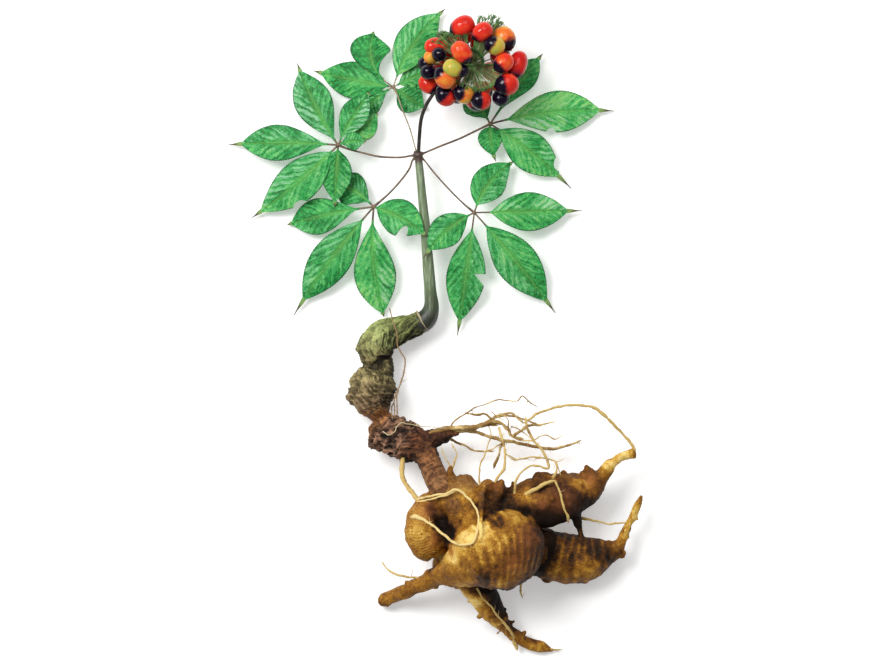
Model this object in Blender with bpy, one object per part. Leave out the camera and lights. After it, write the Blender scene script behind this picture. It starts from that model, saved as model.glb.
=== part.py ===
"""A Vietnamese ginseng plant dug up whole: tuberous root, rhizome, stem, five leaves and a head of berries.

It lies on a flat surface, +Z up, with its leaves towards +Y. The origin is the middle of its outline, on
the surface. Sizes and places are millimetres, and become metres where a mesh is made.
"""

import math

import bmesh
import bpy
import numpy as np
from mathutils import Matrix, Vector

MM = 0.001

# Driving dimensions.
GAP = 0.4  # between two pieces that meet
BLADE = 0.7  # thickness of a leaflet
RIB = 0.45  # how far the midrib stands over the blade, top and bottom
PETIOLULE = 0.6  # radius of a leaflet's own stalk
PETIOLE = 0.8  # radius of a leaf's stalk
PEDUNCLE = 0.95  # radius of the berry stalk
COLLAR = 2.6  # radius of the swelling that the leaves grow from
BERRY = (5.0, 4.6, 6.2)  # half width, half depth and half length of a ripe berry
RAY = 0.5  # radius of a ray of the berry head
BUD = 0.9  # radius of an unopened flower bud
WHORL = (-8.7, 87.5, 17.0)  # where the five leaves meet
UMBEL = (18.2, 132.0, 29.0)  # where the rays of the berry head meet

# Every route is a row of stations: x, y, z and radius.
CROWN = (
    (2.6, -77.3, 27.2, 5.4), (6.5, -80.0, 27.2, 8.0), (12.5, -86.0, 26.5, 13.5), (18.5, -95.0, 26, 17.0),
    (22.0, -105.0, 25, 17.5), (21.0, -114.5, 24, 14.0), (18.0, -122.0, 21.5, 9.5), (20.5, -130.0, 18, 6.8),
    (27.0, -139.0, 14, 5.6), (34.0, -147.5, 9.5, 4.0), (40.0, -153.5, 6.0, 2.8), (47.0, -157.6, 3.4, 2.2),
    (52.5, -159.2, 2.8, 2.7), (56.0, -160.4, 2.3, 1.3), (59.0, -161.3, 2.0, 0.6),
)
FRONT_TUBER = (
    (53.8, -111.6, 36, 2.0), (51.8, -111.2, 36, 9.0), (46.5, -110.2, 36, 15.5), (38.5, -109.5, 36, 19.6),
    (29.8, -110.5, 35.5, 20.2), (21.3, -113.5, 34, 17.0), (14.8, -117.0, 31.5, 12.5),
    (8.3, -120.6, 28, 9.0), (2.3, -122.8, 24.5, 6.8), (-5.2, -126.4, 19.5, 5.8), (-12.7, -129.8, 14.5, 5.2),
    (-20.2, -133.2, 9.5, 4.8), (-25.5, -135.8, 5.6, 4.5), (-28.0, -137.0, 4.2, 2.8),
)
UPPER_TUBER = (
    (24.0, -99.0, 24, 9.0), (37.0, -93.0, 23, 12.0), (49.0, -88.4, 22, 13.4), (60.5, -85.6, 21, 13.8),
    (70.0, -83.4, 20.5, 12.8), (77.4, -79.0, 20, 9.0), (82.4, -74.2, 20, 5.2), (85.4, -69.8, 20, 3.2),
    (88.8, -65.8, 20.5, 2.3), (93.5, -63.0, 21, 2.1), (99.6, -61.6, 22, 2.3),
)
LOWER_TUBER = (
    (33.0, -109.0, 17, 9.0), (47.2, -110.0, 14.0, 12.3), (59.8, -113.0, 12.8, 13.4),
    (72.2, -114.0, 12.4, 13.0), (82.2, -113.5, 12.0, 10.6), (89.2, -111.0, 12.2, 7.0),
    (92.4, -107.3, 12.6, 3.6), (95.2, -101.5, 13, 2.5), (98.7, -94.0, 13.5, 2.4), (101.2, -88.5, 14, 2.2),
    (103.4, -83.0, 14.5, 0.8),
)
LEFT_LOBE = (
    (5.5, -84.0, 25, 5.0), (-0.7, -88.0, 24, 8.8), (-3.8, -94.0, 23.5, 11.0), (-3.8, -101.0, 22.5, 11.4),
    (-2.2, -108.0, 21.5, 9.8), (0.3, -113.0, 21, 5.2),
)
BACK_LOBE = (
    (26.0, -92.0, 20, 8.0), (22.0, -99.0, 15, 12.0), (16.0, -107.0, 12.6, 13.2), (9.0, -113.5, 11.8, 11.2),
    (3.5, -118.5, 11.0, 6.0), (0.5, -122.0, 10.6, 2.2),
)
ARCHED_ROOT = (
    (98.8, -61.8, 22, 2.0), (98.6, -58.0, 22.5, 1.4), (91.6, -50.0, 24, 1.2), (83.4, -41.8, 26, 1.4),
    (76.6, -38.0, 27, 1.3), (66.6, -37.4, 27, 1.1), (56.6, -39.4, 27, 1.0), (49.2, -42.8, 26.5, 0.9),
    (43.5, -46.5, 26.5, 0.7),
)
# The rootlets that grow from the tubers.
ROOTLETS = {
    "bridge": (
        (-16.9, -71.8, 21.5, 1.4), (-15.6, -76.5, 23, 1.4), (-12.4, -81.0, 26, 1.3), (-7.8, -88.2, 28, 1.2),
    ),
    "loop": (
        (-9.0, -88.0, 29, 1.2), (-2.8, -84.6, 33.5, 1.0), (7.2, -82.2, 37.4, 1.0), (13.8, -82.4, 39.6, 1.0),
        (18.6, -86.0, 42.2, 1.0), (21.0, -92.0, 44.4, 1.0), (20.8, -99.5, 46.2, 1.0),
        (18.6, -105.4, 47.8, 1.0), (13.8, -107.9, 45.6, 1.0), (7.2, -106.4, 41.2, 1.0),
        (-0.2, -101.2, 36.0, 1.0), (-6.8, -96.8, 33.6, 1.3),
    ),
    "crown": (
        (24.0, -79.0, 31, 2.4), (22.8, -84.0, 40.5, 1.3), (22.4, -91.5, 45.6, 1.1),
        (22.6, -99.0, 49.5, 1.0), (22.4, -106.4, 50.6, 1.0),
    ),
    "knob_riser": (
        (26.8, -80.0, 28.5, 1.4), (31.0, -73.8, 31, 1.1), (34.0, -69.0, 30, 1.1), (34.8, -62.0, 29, 1.0),
        (34.4, -57.2, 28, 0.9),
    ),
    "knob_twig": (
        (22.6, -78.0, 31, 1.0), (21.6, -72.5, 31, 0.7), (23.2, -65.5, 30.5, 0.6), (26.0, -58.6, 30, 0.5),
    ),
    "neck_stub": ((9.5, -76.5, 28.5, 2.6), (7.2, -71.0, 30, 1.7), (8.2, -68.0, 30, 0.8)),
    "neck_twig": ((7.4, -71.0, 30, 1.0), (10.6, -62.0, 30, 0.6), (7.8, -56.2, 30, 0.5)),
    "upper_twig": (
        (44.0, -82.5, 30.0, 1.5), (51.0, -77.4, 33.5, 1.4), (58.5, -76.2, 34.2, 1.2),
        (62.8, -83.0, 36.0, 0.8), (65.4, -91.5, 34.0, 0.8), (67.2, -95.4, 27.0, 0.9),
    ),
    "upper_riser": (
        (39.4, -84.0, 30, 1.4), (40.6, -74.0, 31, 0.9), (45.2, -68.6, 31, 0.8), (50.5, -67.6, 30, 0.9),
        (56.6, -68.6, 29, 1.4), (53.6, -60.4, 29, 1.4), (49.4, -55.6, 29, 1.3), (45.6, -49.2, 30, 1.2),
        (44.4, -43.2, 30.5, 1.1),
    ),
    "upper_feeler": (
        (57.6, -76.0, 27.5, 1.8), (61.0, -68.4, 27.5, 0.8), (57.2, -64.6, 26, 0.7), (48.0, -63.2, 25, 0.7),
        (40.6, -64.8, 24, 0.6), (36.8, -62.6, 24, 0.5),
    ),
    "tail_twig": (
        (-26.8, -116.4, 9, 0.6), (-23.4, -120.6, 11, 0.8), (-16.4, -123.4, 14.5, 0.9),
        (-8.6, -124.0, 19, 1.0), (-3.0, -125.4, 21, 1.2),
    ),
    "tap_twig": (
        (21.2, -128.8, 24, 1.2), (27.4, -138.0, 19.6, 0.9), (33.8, -146.4, 13.6, 0.9),
        (38.4, -151.8, 8.8, 1.1), (40.2, -157.0, 6.4, 1.3), (41.2, -160.8, 5.2, 1.0),
    ),
    "link": (
        (72.0, -94.0, 15, 1.2), (84.6, -96.6, 14.6, 0.8), (93.0, -96.8, 13.8, 0.8),
        (97.6, -96.0, 13.4, 1.0),
    ),
    "belly_twig": ((42.4, -121.0, 29, 1.4), (42.8, -130.4, 25, 0.8), (43.4, -134.4, 24, 0.5)),
    "foot": (
        (71.2, -95.0, 19, 4.2), (73.2, -101.6, 17.4, 2.7), (75.2, -107.4, 15.4, 2.4),
        (76.0, -110.6, 14, 2.0),
    ),
    "end_stub": ((88.0, -111.5, 12.5, 3.0), (93.6, -113.2, 12.6, 1.8), (95.4, -113.2, 12.6, 1.2)),
}
# Knobs on the tubers, where older stems and roots broke off: x, y, z, radius.
KNOBS = (
    (30.0, -82.0, 27.5, 6.4), (15.5, -76.8, 26.0, 4.4), (26.0, -78.4, 30.0, 4.2), (-4.6, -86.6, 20.0, 4.2),
    (10.5, -116.5, 20.0, 7.0), (55.0, -75.4, 25.0, 4.2), (76.4, -72.0, 21.0, 3.4), (40.0, -84.6, 29.0, 4.6),
    (83.5, -87.2, 17.0, 2.6), (68.0, -102.0, 20.0, 2.2), (82.6, -122.4, 10.5, 2.8),
    (55.6, -124.6, 10.5, 3.0), (47.0, -103.0, 15.5, 6.0), (34.6, -143.4, 13.4, 2.2),
    (-12.0, -127.4, 18.0, 1.8), (2.0, -130.4, 21.0, 1.8),
)
RHIZOME = (
    (2.2, -76.9, 27.1, 5.2), (-0.6, -71.0, 25.4, 5.0), (-2.8, -65.0, 23.2, 5.6), (-7.8, -59.2, 20.0, 7.6),
    (-15.6, -54.2, 16.6, 10.0), (-23.6, -48.8, 14.6, 9.8), (-28.4, -42.6, 13.2, 7.6),
    (-31.0, -36.0, 12.2, 9.8), (-32.2, -29.0, 11.6, 11.7), (-30.4, -21.0, 11.6, 9.2),
    (-29.8, -15.4, 11.4, 8.0), (-30.4, -9.0, 11.2, 8.6), (-26.8, -3.6, 11.0, 8.4), (-19.2, -0.6, 10.8, 7.1),
    (-11.8, 2.0, 10.4, 6.1), (-6.6, 4.2, 10.2, 5.6),
)
# Scars and old stem bases on the rhizome: x, y, z, radius. Each stands a little out of the body.
RHIZOME_KNOBS = (
    (-38.4, -32.6, 12.5, 5.4), (-25.0, -30.5, 15.0, 4.4), (-35.4, -13.5, 13.0, 4.2),
    (-25.2, -15.0, 13.0, 4.4), (-29.6, -52.5, 13.5, 4.9), (-17.5, -46.6, 19.0, 5.4),
    (-22.5, -57.0, 16.5, 5.2), (-4.2, -52.2, 18.5, 5.4), (-13.0, -61.4, 16.5, 5.4),
    (-33.2, -5.2, 12.0, 4.5), (-30.4, -38.6, 16.5, 5.2), (-34.0, -24.0, 15.8, 5.4),
)
STEM = (
    (-6.1, 4.8, 10.3, 5.4), (-3.4, 7.4, 10.9, 4.9), (-2.1, 12.4, 12.0, 3.8), (-2.7, 20.0, 13.4, 3.1),
    (-4.2, 40.0, 15.2, 2.7), (-5.7, 57.5, 16.2, 2.4), (-7.2, 72.5, 16.8, 2.1), (-8.5, 86.0, 17.0, 1.9),
)
# The spray of roots that leaves the rhizome's lowest knob. The others branch from the first.
SPRAY = {
    "main": (
        (-8.0, -55.0, 19.0, 4.4), (0.0, -51.6, 19.5, 3.4), (7.5, -49.8, 20, 2.2), (18.0, -48.0, 20.5, 1.8),
        (27.8, -45.4, 21, 1.7), (33.0, -46.4, 21, 1.5), (37.4, -50.0, 20.5, 1.3), (44.6, -54.4, 20, 1.1),
    ),
    "pale": (
        (-2.0, -53.6, 18.0, 2.6), (8.4, -51.6, 16.5, 1.8), (17.4, -50.6, 15.5, 1.5), (28.2, -52.6, 15, 1.4),
        (41.4, -56.4, 14.5, 1.3), (54.4, -59.2, 14, 1.2), (66.8, -57.6, 13.5, 1.0), (73.4, -55.2, 13, 0.6),
    ),
    "high": (
        (7.0, -49.6, 20.0, 1.0), (10.8, -43.6, 22.5, 0.8), (22.2, -38.0, 25, 0.7), (33.2, -35.0, 26, 0.7),
        (43.8, -32.8, 26, 0.7), (49.4, -37.6, 25, 0.6), (52.0, -39.2, 24.5, 0.5),
    ),
    "fork": ((14.6, -41.6, 23.6, 0.8), (20.8, -42.2, 23, 0.8), (26.6, -45.0, 21.4, 1.0)),
    "upper": (
        (26.0, -46.0, 21.0, 1.3), (30.2, -42.6, 18, 1.0), (37.8, -41.6, 17, 0.9), (42.4, -45.0, 16.5, 0.8),
        (45.8, -44.6, 16, 0.6),
    ),
    "stub": (
        (38.0, -50.6, 20.4, 1.2), (44.2, -49.4, 21, 1.2), (50.6, -47.8, 21.5, 1.2),
        (54.0, -47.2, 21.5, 0.8),
    ),
    "wisp": (
        (44.0, -54.0, 20.0, 0.9), (52.6, -52.8, 20, 0.7), (59.8, -53.8, 20.5, 0.6),
        (63.8, -52.8, 20.5, 0.5),
    ),
    "hanging": (
        (30.0, -53.4, 14.8, 1.2), (31.6, -59.2, 12.5, 1.0), (29.4, -65.4, 11, 1.0), (28.4, -69.4, 10, 1.0),
    ),
    "low": (
        (18.0, -51.0, 15.4, 1.2), (27.0, -45.0, 11, 0.9), (39.0, -43.0, 8.5, 0.8), (52.0, -47.6, 7.5, 0.7),
        (60.5, -46.0, 7.5, 0.5),
    ),
    "under": (
        (3.0, -52.6, 17.4, 1.3), (12.0, -57.0, 11.5, 0.9), (20.5, -60.6, 8.5, 0.8), (30.0, -60.8, 7.5, 0.6),
    ),
}

# Each leaflet: tip x, y, z; blade width; where along the blade it is widest, as a share; stalk length; drip
# tip length; bow to the left; arch; bites.
# A bite is the side it is on (-1 left, 1 right), its place along the blade, its half length and its depth.
LEAVES = {
    "leaf_upper": {
        "petiole": ((-10.1, 91.0, 15.6), (-12.9, 101.0, 13.5), (-16.8, 111.0, 10.5), (-19.0, 117.5, 9.0)),
        "hub": (-21.2, 122.0, 8.4),
        "leaflets": (
            ((-30.0, 150.2, 4.5), 18.5, 0.66, 6.0, 1.0, 5.0, 2.0, ()),
            ((4.8, 161.4, 3.0), 19.5, 0.50, 6.0, 3.5, 3.5, 1.0, ()),
            ((-61.4, 130.4, 1.6), 19.0, 0.50, 3.0, 4.0, 0.5, -1.0, ()),
            ((-38.4, 103.0, 1.8), 10.5, 0.55, 3.0, 1.5, -2.5, -0.5, ()),
            ((-6.4, 110.0, 2.6), 11.0, 0.45, 2.5, 2.0, -0.5, 0.0, ()),
            ((8.0, 133.6, 2.4), 15.0, 0.50, 3.0, 2.0, 1.0, -1.0, ()),
        ),
    },
    "leaf_left": {
        "petiole": (
            (-12.6, 87.2, 16.6), (-18.0, 86.4, 16.5), (-28.0, 86.8, 16), (-36.0, 88.6, 16),
            (-43.0, 90.4, 15.5),
        ),
        "hub": (-48.8, 92.6, 15.2),
        "leaflets": (
            ((-103.9, 93.2, 1.0), 18.6, 0.52, 6.0, 6.5, -1.0, 4.0, ()),
            ((-69.3, 133.6, 9.0), 19.5, 0.56, 3.5, 4.0, 1.5, 3.0, ()),
            ((-33.0, 119.2, 10.5), 12.5, 0.52, 3.5, 1.5, 0.0, 1.5, ()),
            ((-32.0, 105.0, 6.8), 11.0, 0.60, 2.5, 1.0, -1.0, -1.5, ()),
            ((-92.2, 56.6, 1.2), 19.0, 0.50, 5.0, 5.5, 0.0, 3.0, ((-1, 0.62, 0.07, 0.25),)),
            ((-50.6, 61.8, 9.0), 16.0, 0.45, 2.5, 2.5, 0.0, 1.0, ()),
            ((-34.8, 94.2, 17.8), 9.5, 0.55, 2.0, 1.0, 1.0, 1.2, ()),
        ),
    },
    "leaf_lower_left": {
        "petiole": ((-11.7, 84.7, 15.6), (-13.2, 80.6, 15), (-17.8, 74.4, 13.5), (-23.8, 68.0, 12)),
        "hub": (-31.0, 61.8, 10.8),
        "leaflets": (
            ((-49.6, 78.4, 4.0), 17.0, 0.58, 3.0, 1.5, -1.5, -0.5, ()),
            ((-74.4, 53.0, 1.6), 17.8, 0.50, 8.0, 2.0, -1.0, 1.5, ()),
            ((-71.2, 7.6, 0.9), 20.5, 0.52, 9.0, 9.0, -1.5, 3.5, ()),
            ((-26.0, 6.8, 2.2), 21.0, 0.58, 7.5, 2.0, -1.0, 2.5, ()),
            ((-4.8, 47.2, 19.6), 16.5, 0.40, 2.0, 2.5, 4.5, 3.2, ((1, 0.58, 0.14, 0.75),)),
        ),
    },
    "leaf_lower_right": {
        "petiole": ((-5.3, 84.6, 16.4), (-0.4, 78.4, 16.5), (7.2, 70.0, 16), (13.8, 63.5, 15)),
        "hub": (19.4, 58.8, 14.4),
        "leaflets": (
            ((38.8, 84.4, 5.0), 17.0, 0.46, 4.0, 1.5, 2.0, 1.0, ()),
            ((73.3, 60.0, 2.6), 20.0, 0.50, 8.5, 7.0, 0.0, 2.5, ()),
            ((60.0, 8.8, 0.9), 22.0, 0.50, 9.5, 7.5, 1.5, 4.0, ()),
            ((11.2, -2.6, 1.6), 18.0, 0.54, 9.0, 7.5, -1.5, 3.0, ((-1, 0.50, 0.06, 0.60),)),
            ((-6.2, 35.6, 20.0), 15.0, 0.50, 3.5, 7.0, -3.0, 0.5, ()),
        ),
    },
    "leaf_right": {
        "petiole": ((-5.0, 88.9, 15.8), (2.2, 92.0, 14.5), (12.2, 96.0, 12.5), (21.2, 100.4, 10.4)),
        "hub": (27.4, 103.4, 9.2),
        "leaflets": (
            ((89.6, 110.2, 1.0), 20.0, 0.56, 8.5, 7.0, 1.5, 3.0, ((1, 0.44, 0.07, 0.30),)),
            ((68.0, 71.4, 0.9), 20.0, 0.50, 5.5, 8.5, 1.5, 3.0, ((-1, 0.88, 0.07, 0.60),)),
            ((30.2, 84.8, 7.6), 12.0, 0.38, 1.5, 3.0, -1.0, 0.5, ()),
            ((53.8, 138.8, 2.2), 17.0, 0.55, 6.0, 3.0, -1.0, -1.5, ()),
            ((14.0, 121.0, 2.4), 15.0, 0.55, 3.0, 1.5, -1.0, -1.5, ()),
        ),
    },
}
PEDUNCLE_ROUTE = (
    (-8.5, 91.0, 18.8), (-8.0, 97.5, 20), (-7.2, 105.0, 22), (-5.2, 111.0, 24.5), (-2.2, 116.2, 26.5),
    (2.0, 121.6, 28), (9.0, 127.4, 29),
)
# Berries seen from above: place from the umbel's middle, the way the dark end points, and size.
BERRIES = (
    ((-4.8, 19.5, 4.0), (-1.0, -0.6, 0.3), 1.12), ((5.0, 16.2, 9.0), (-0.9, -0.7, 0.4), 0.95),
    ((16.4, 12.8, 3.0), (0.5, -1.0, 0.3), 1.08), ((11.0, 9.6, 10.5), (-1.0, 0.3, 0.5), 0.88),
    ((-18.0, 9.8, 0.0), (1.0, -0.1, 0.2), 1.0), ((-16.6, 4.6, 8.0), (-0.2, 0.1, 1.0), 0.72),
    ((-5.2, 6.8, 16.5), (0.8, -0.8, 0.4), 1.0), ((-9.8, -1.0, 15.6), (0.9, -0.5, 0.2), 0.95),
    ((-21.6, -3.8, 3.4), (0.1, 0.2, 1.0), 0.85), ((-22.4, 0.6, -4.0), (-0.2, 0.9, 0.5), 0.85),
    ((-13.6, -6.8, 12.6), (-0.8, 0.8, 0.2), 1.0), ((-21.6, -10.0, -3.0), (1.0, -0.7, 0.1), 0.95),
    ((-13.2, -15.6, 5.0), (-0.7, 0.5, 0.6), 1.0), ((-4.8, -14.8, 9.0), (-0.6, 0.3, 0.8), 0.92),
    ((4.4, -17.8, 7.0), (-0.9, 0.1, 0.5), 0.98), ((21.8, -1.0, 0.0), (-0.1, -1.0, 0.3), 1.15),
    ((15.4, 0.6, 10.5), (-0.8, -0.6, 0.3), 0.95), ((15.8, -10.8, 7.6), (-0.7, -0.4, 0.6), 1.12),
    ((14.0, -17.0, 1.0), (-0.2, -0.6, 0.8), 0.92),
)
BACK_BERRIES = 9  # further berries, spread evenly over the side of the head that faces the surface
BACK_REACH = 19.5  # how far their middles lie from the umbel's middle
BACK_LEAN = (-0.20, -0.86)  # the highest and the lowest of them, as a share of that reach below the middle
BUDS = 12  # rays that end in a bud, on the far side of the head
BUD_REACH = (19.0, 24.0)
GOLDEN_ANGLE = math.pi * (3 - math.sqrt(5))


def clear_scene():
    for obj in list(bpy.data.objects):
        bpy.data.objects.remove(obj)


def finish(name, colour, roughness):
    """A material of one colour."""
    material = bpy.data.materials.new(name)
    material.use_nodes = True
    shader = material.node_tree.nodes["Principled BSDF"]
    shader.inputs["Base Color"].default_value = (*colour, 1)
    shader.inputs["Roughness"].default_value = roughness
    shader.inputs["Metallic"].default_value = 0
    return material


def smooth(points, count):
    """Evenly spaced stations on a smooth curve through the points, whose first three values are a place."""
    given = np.array(points, float)
    padded = np.vstack([2 * given[0] - given[1], given, 2 * given[-1] - given[-2]])
    steps = np.linspace(0, 1, 12, endpoint=False)[:, None]
    fine = []
    for a, b, c, d in zip(padded, padded[1:], padded[2:], padded[3:]):
        square = (2 * a - 5 * b + 4 * c - d) * steps**2
        cube = (3 * b - a - 3 * c + d) * steps**3
        fine.append(0.5 * (2 * b + (c - a) * steps + square + cube))
    fine = np.vstack([*fine, given[-1:]])
    along = np.concatenate([[0], np.cumsum(np.linalg.norm(np.diff(fine[:, :3], axis=0), axis=1))])
    wanted = np.linspace(0, along[-1], count)
    return np.column_stack([np.interp(wanted, along, column) for column in fine.T])


def frames(path):
    """For each point of a path, two directions across it that don't twist along the way."""
    places = [Vector(point[:3]) for point in path]
    neighbours = zip([places[0], *places], [*places[1:], places[-1]])
    ahead = [(after - before).normalized() for before, after in neighbours]
    side = ahead[0].cross(Vector((0, 0, 1))).normalized()
    found = []
    for direction in ahead:
        side = (side - direction * side.dot(direction)).normalized()
        found.append((side, side.cross(direction)))
    return found


def joined_rings(rings, first_tip, last_tip):
    """A closed bmesh of rings with as many points each, fanned to a tip at both ends."""
    shape = bmesh.new()
    rows = [[shape.verts.new(point * MM) for point in ring] for ring in rings]
    count = len(rows[0])
    for lower, upper in zip(rows, rows[1:]):
        for i in range(count):
            j = (i + 1) % count
            shape.faces.new((lower[i], lower[j], upper[j]))
            shape.faces.new((lower[i], upper[j], upper[i]))
    start, end = shape.verts.new(first_tip * MM), shape.verts.new(last_tip * MM)
    for i in range(count):
        j = (i + 1) % count
        shape.faces.new((start, rows[0][j], rows[0][i]))
        shape.faces.new((end, rows[-1][i], rows[-1][j]))
    bmesh.ops.recalc_face_normals(shape, faces=shape.faces)
    return shape


def as_object(shape, name):
    mesh = bpy.data.meshes.new(name)
    shape.to_mesh(mesh)
    shape.free()
    obj = bpy.data.objects.new(name, mesh)
    bpy.context.scene.collection.objects.link(obj)
    return obj


def loft(name, route, count, sides, relief=None, end_bulge=0.35):
    """A solid along a route of stations. relief(share, angle) swells it by a share of its radius."""
    stations = smooth(route, count)
    rings = []
    for i, ((*place, radius), (side, up)) in enumerate(zip(stations, frames(stations))):
        ring = []
        for k in range(sides):
            angle = 2 * math.pi * k / sides
            reach = max(radius, 0.3) * (1 + (relief(i / (count - 1), angle) if relief else 0))
            ring.append(Vector(place) + (side * math.cos(angle) + up * math.sin(angle)) * reach)
        rings.append(ring)
    tips = []
    for end, inner in ((stations[0], stations[1]), (stations[-1], stations[-2])):
        outwards = (Vector(end[:3]) - Vector(inner[:3])).normalized()
        tips.append(Vector(end[:3]) + outwards * end_bulge * end[3])
    return as_object(joined_rings(rings, *tips), name)


def ball(name, place, radii, along=(0, 0, 1), segments=8, rings=6):
    """An egg with the given half sizes, its last one along the given direction."""
    shape = bmesh.new()
    bmesh.ops.create_uvsphere(shape, u_segments=segments, v_segments=rings, radius=MM)
    turn = Vector(along).to_track_quat("Z", "Y").to_matrix().to_4x4()
    shape.transform(Matrix.Translation(Vector(place) * MM) @ turn @ Matrix.Diagonal((*radii, 1)))
    return as_object(shape, name)


def fused(name, pieces, material, origin, cutters=(), solver="EXACT"):
    """One object made of overlapping pieces, less any cutters, with its origin at the given place."""
    body, *others = pieces
    body.name = body.data.name = name
    group = bpy.data.collections.new(name + "_pieces")
    for piece in others:
        group.objects.link(piece)
    if others:
        join = body.modifiers.new("join", "BOOLEAN")
        join.operation, join.solver = "UNION", solver
        join.operand_type, join.collection = "COLLECTION", group
    for cutter in cutters:
        cut = body.modifiers.new("cut", "BOOLEAN")
        cut.operation, cut.object, cut.solver = "DIFFERENCE", cutter, solver
    graph = bpy.context.evaluated_depsgraph_get()
    mesh = bpy.data.meshes.new_from_object(body.evaluated_get(graph))
    body.modifiers.clear()
    body.data = mesh
    mesh.name = name
    for piece in (*others, *cutters):
        bpy.data.objects.remove(piece)
    bpy.data.collections.remove(group)
    mesh.transform(Matrix.Translation(-Vector(origin) * MM))
    body.location = Vector(origin) * MM
    mesh.materials.clear()
    mesh.materials.append(material)
    mesh.shade_smooth()
    mesh.set_sharp_from_angle(angle=math.radians(50))
    return body


def surface_below():
    """A slab whose top is the surface that the plant lies on, to cut the small flats that it rests on."""
    shape = bmesh.new()
    bmesh.ops.create_cube(shape, size=1)
    shape.transform(Matrix.Translation((0, 0, -0.02)) @ Matrix.Diagonal((0.6, 0.6, 0.04, 1)))
    slab = as_object(shape, "surface_below")
    slab.display_type = "WIRE"
    slab.hide_render = True
    return slab


def tuber_relief(rings, lumps, phase):
    """Growth rings round a tuber, and a few broad lumps."""
    return lambda share, angle: (
        0.022 * math.sin(2 * math.pi * rings * share + 0.8 * math.sin(angle))
        + 0.045 * math.sin(2 * angle + phase + lumps * share)
        + 0.030 * math.sin(3 * angle - 2 * phase - 2 * lumps * share)
    )


def rhizome_relief(share, angle):
    """The lumps and the slanting folds of the rhizome."""
    folds = 0.05 * math.sin(2 * math.pi * 9 * share + 1.2 * math.sin(angle + 9 * share))
    lumps = 0.08 * math.sin(2 * angle + 21 * share) + 0.05 * math.sin(3 * angle - 34 * share)
    return (folds + lumps) * min(1, 8 * share, 8 * (1 - share))


def make_tuberous_root(material):
    pieces = [
        loft("crown", CROWN, 22, 12, tuber_relief(7, 5, 0.4)),
        loft("front_tuber", FRONT_TUBER, 21, 14, tuber_relief(6, 3, 1.9)),
        loft("upper_tuber", UPPER_TUBER, 16, 12, tuber_relief(5, 6, 2.7)),
        loft("lower_tuber", LOWER_TUBER, 16, 12, tuber_relief(5, 4, 0.9)),
        loft("left_lobe", LEFT_LOBE, 8, 10, tuber_relief(2, 2, 0.2)),
        loft("back_lobe", BACK_LOBE, 8, 10, tuber_relief(2, 3, 1.2)),
        loft("arched_root", ARCHED_ROOT, 18, 5),
    ]
    for name, route in ROOTLETS.items():
        thick = max(radius for *_, radius in route) > 1.5
        pieces.append(loft(name, route, 2 * len(route), 5 if thick else 4))
    for i, (*place, radius) in enumerate(KNOBS):
        pieces.append(ball(f"knob_{i}", place, (radius, radius, radius), segments=7, rings=5))
    cutters = [surface_below(), rhizome_clearance()]
    return fused("tuberous_root", pieces, material, CROWN[3][:3], cutters)


def rhizome_pieces(extra):
    """The rhizome's body and knobs, with the given length added to every radius."""
    route = [(*place, radius + extra) for *place, radius in RHIZOME]
    pieces = [loft("rhizome_body", route, 34, 12, rhizome_relief, end_bulge=0.1 * (extra > 0))]
    for i, (*place, radius) in enumerate(RHIZOME_KNOBS):
        pieces.append(ball(f"scar_{i}", place, (radius + extra,) * 3, segments=7, rings=5))
    return pieces


def make_rhizome(material):
    return fused("rhizome", rhizome_pieces(0), material, RHIZOME[0][:3], [surface_below()])


def rhizome_clearance():
    """The rhizome grown by the gap, to cut what meets it."""
    cutter = fused("rhizome_clearance", rhizome_pieces(GAP), None, (0, 0, 0))
    cutter.display_type = "WIRE"
    cutter.hide_render = True
    return cutter


def make_fibrous_roots(material):
    pieces = []
    for name, route in SPRAY.items():
        pieces.append(loft(name, route, 2 * len(route), 6 if name == "main" else 4))
    return fused("fibrous_roots", pieces, material, SPRAY["main"][1][:3], [rhizome_clearance()])


def make_stem(material):
    pieces = [
        loft("stem_body", STEM, 16, 9, end_bulge=0),
        ball("collar", WHORL, (COLLAR, COLLAR, COLLAR), segments=9),
    ]
    return fused("stem", pieces, material, WHORL, [rhizome_clearance()])


def blade_outline(share, width, belly, bites, side):
    """Half the width of a leaflet on one side, at a share of the way along its blade."""
    half = width / 2 * math.sin(math.pi * share ** (math.log(0.5) / math.log(belly))) ** 0.85
    for bitten, place, reach, depth in bites:
        near = abs(share - place) / reach
        if bitten == side and near < 1:
            half *= 1 - depth * (1 - near**2)
    return half


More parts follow.
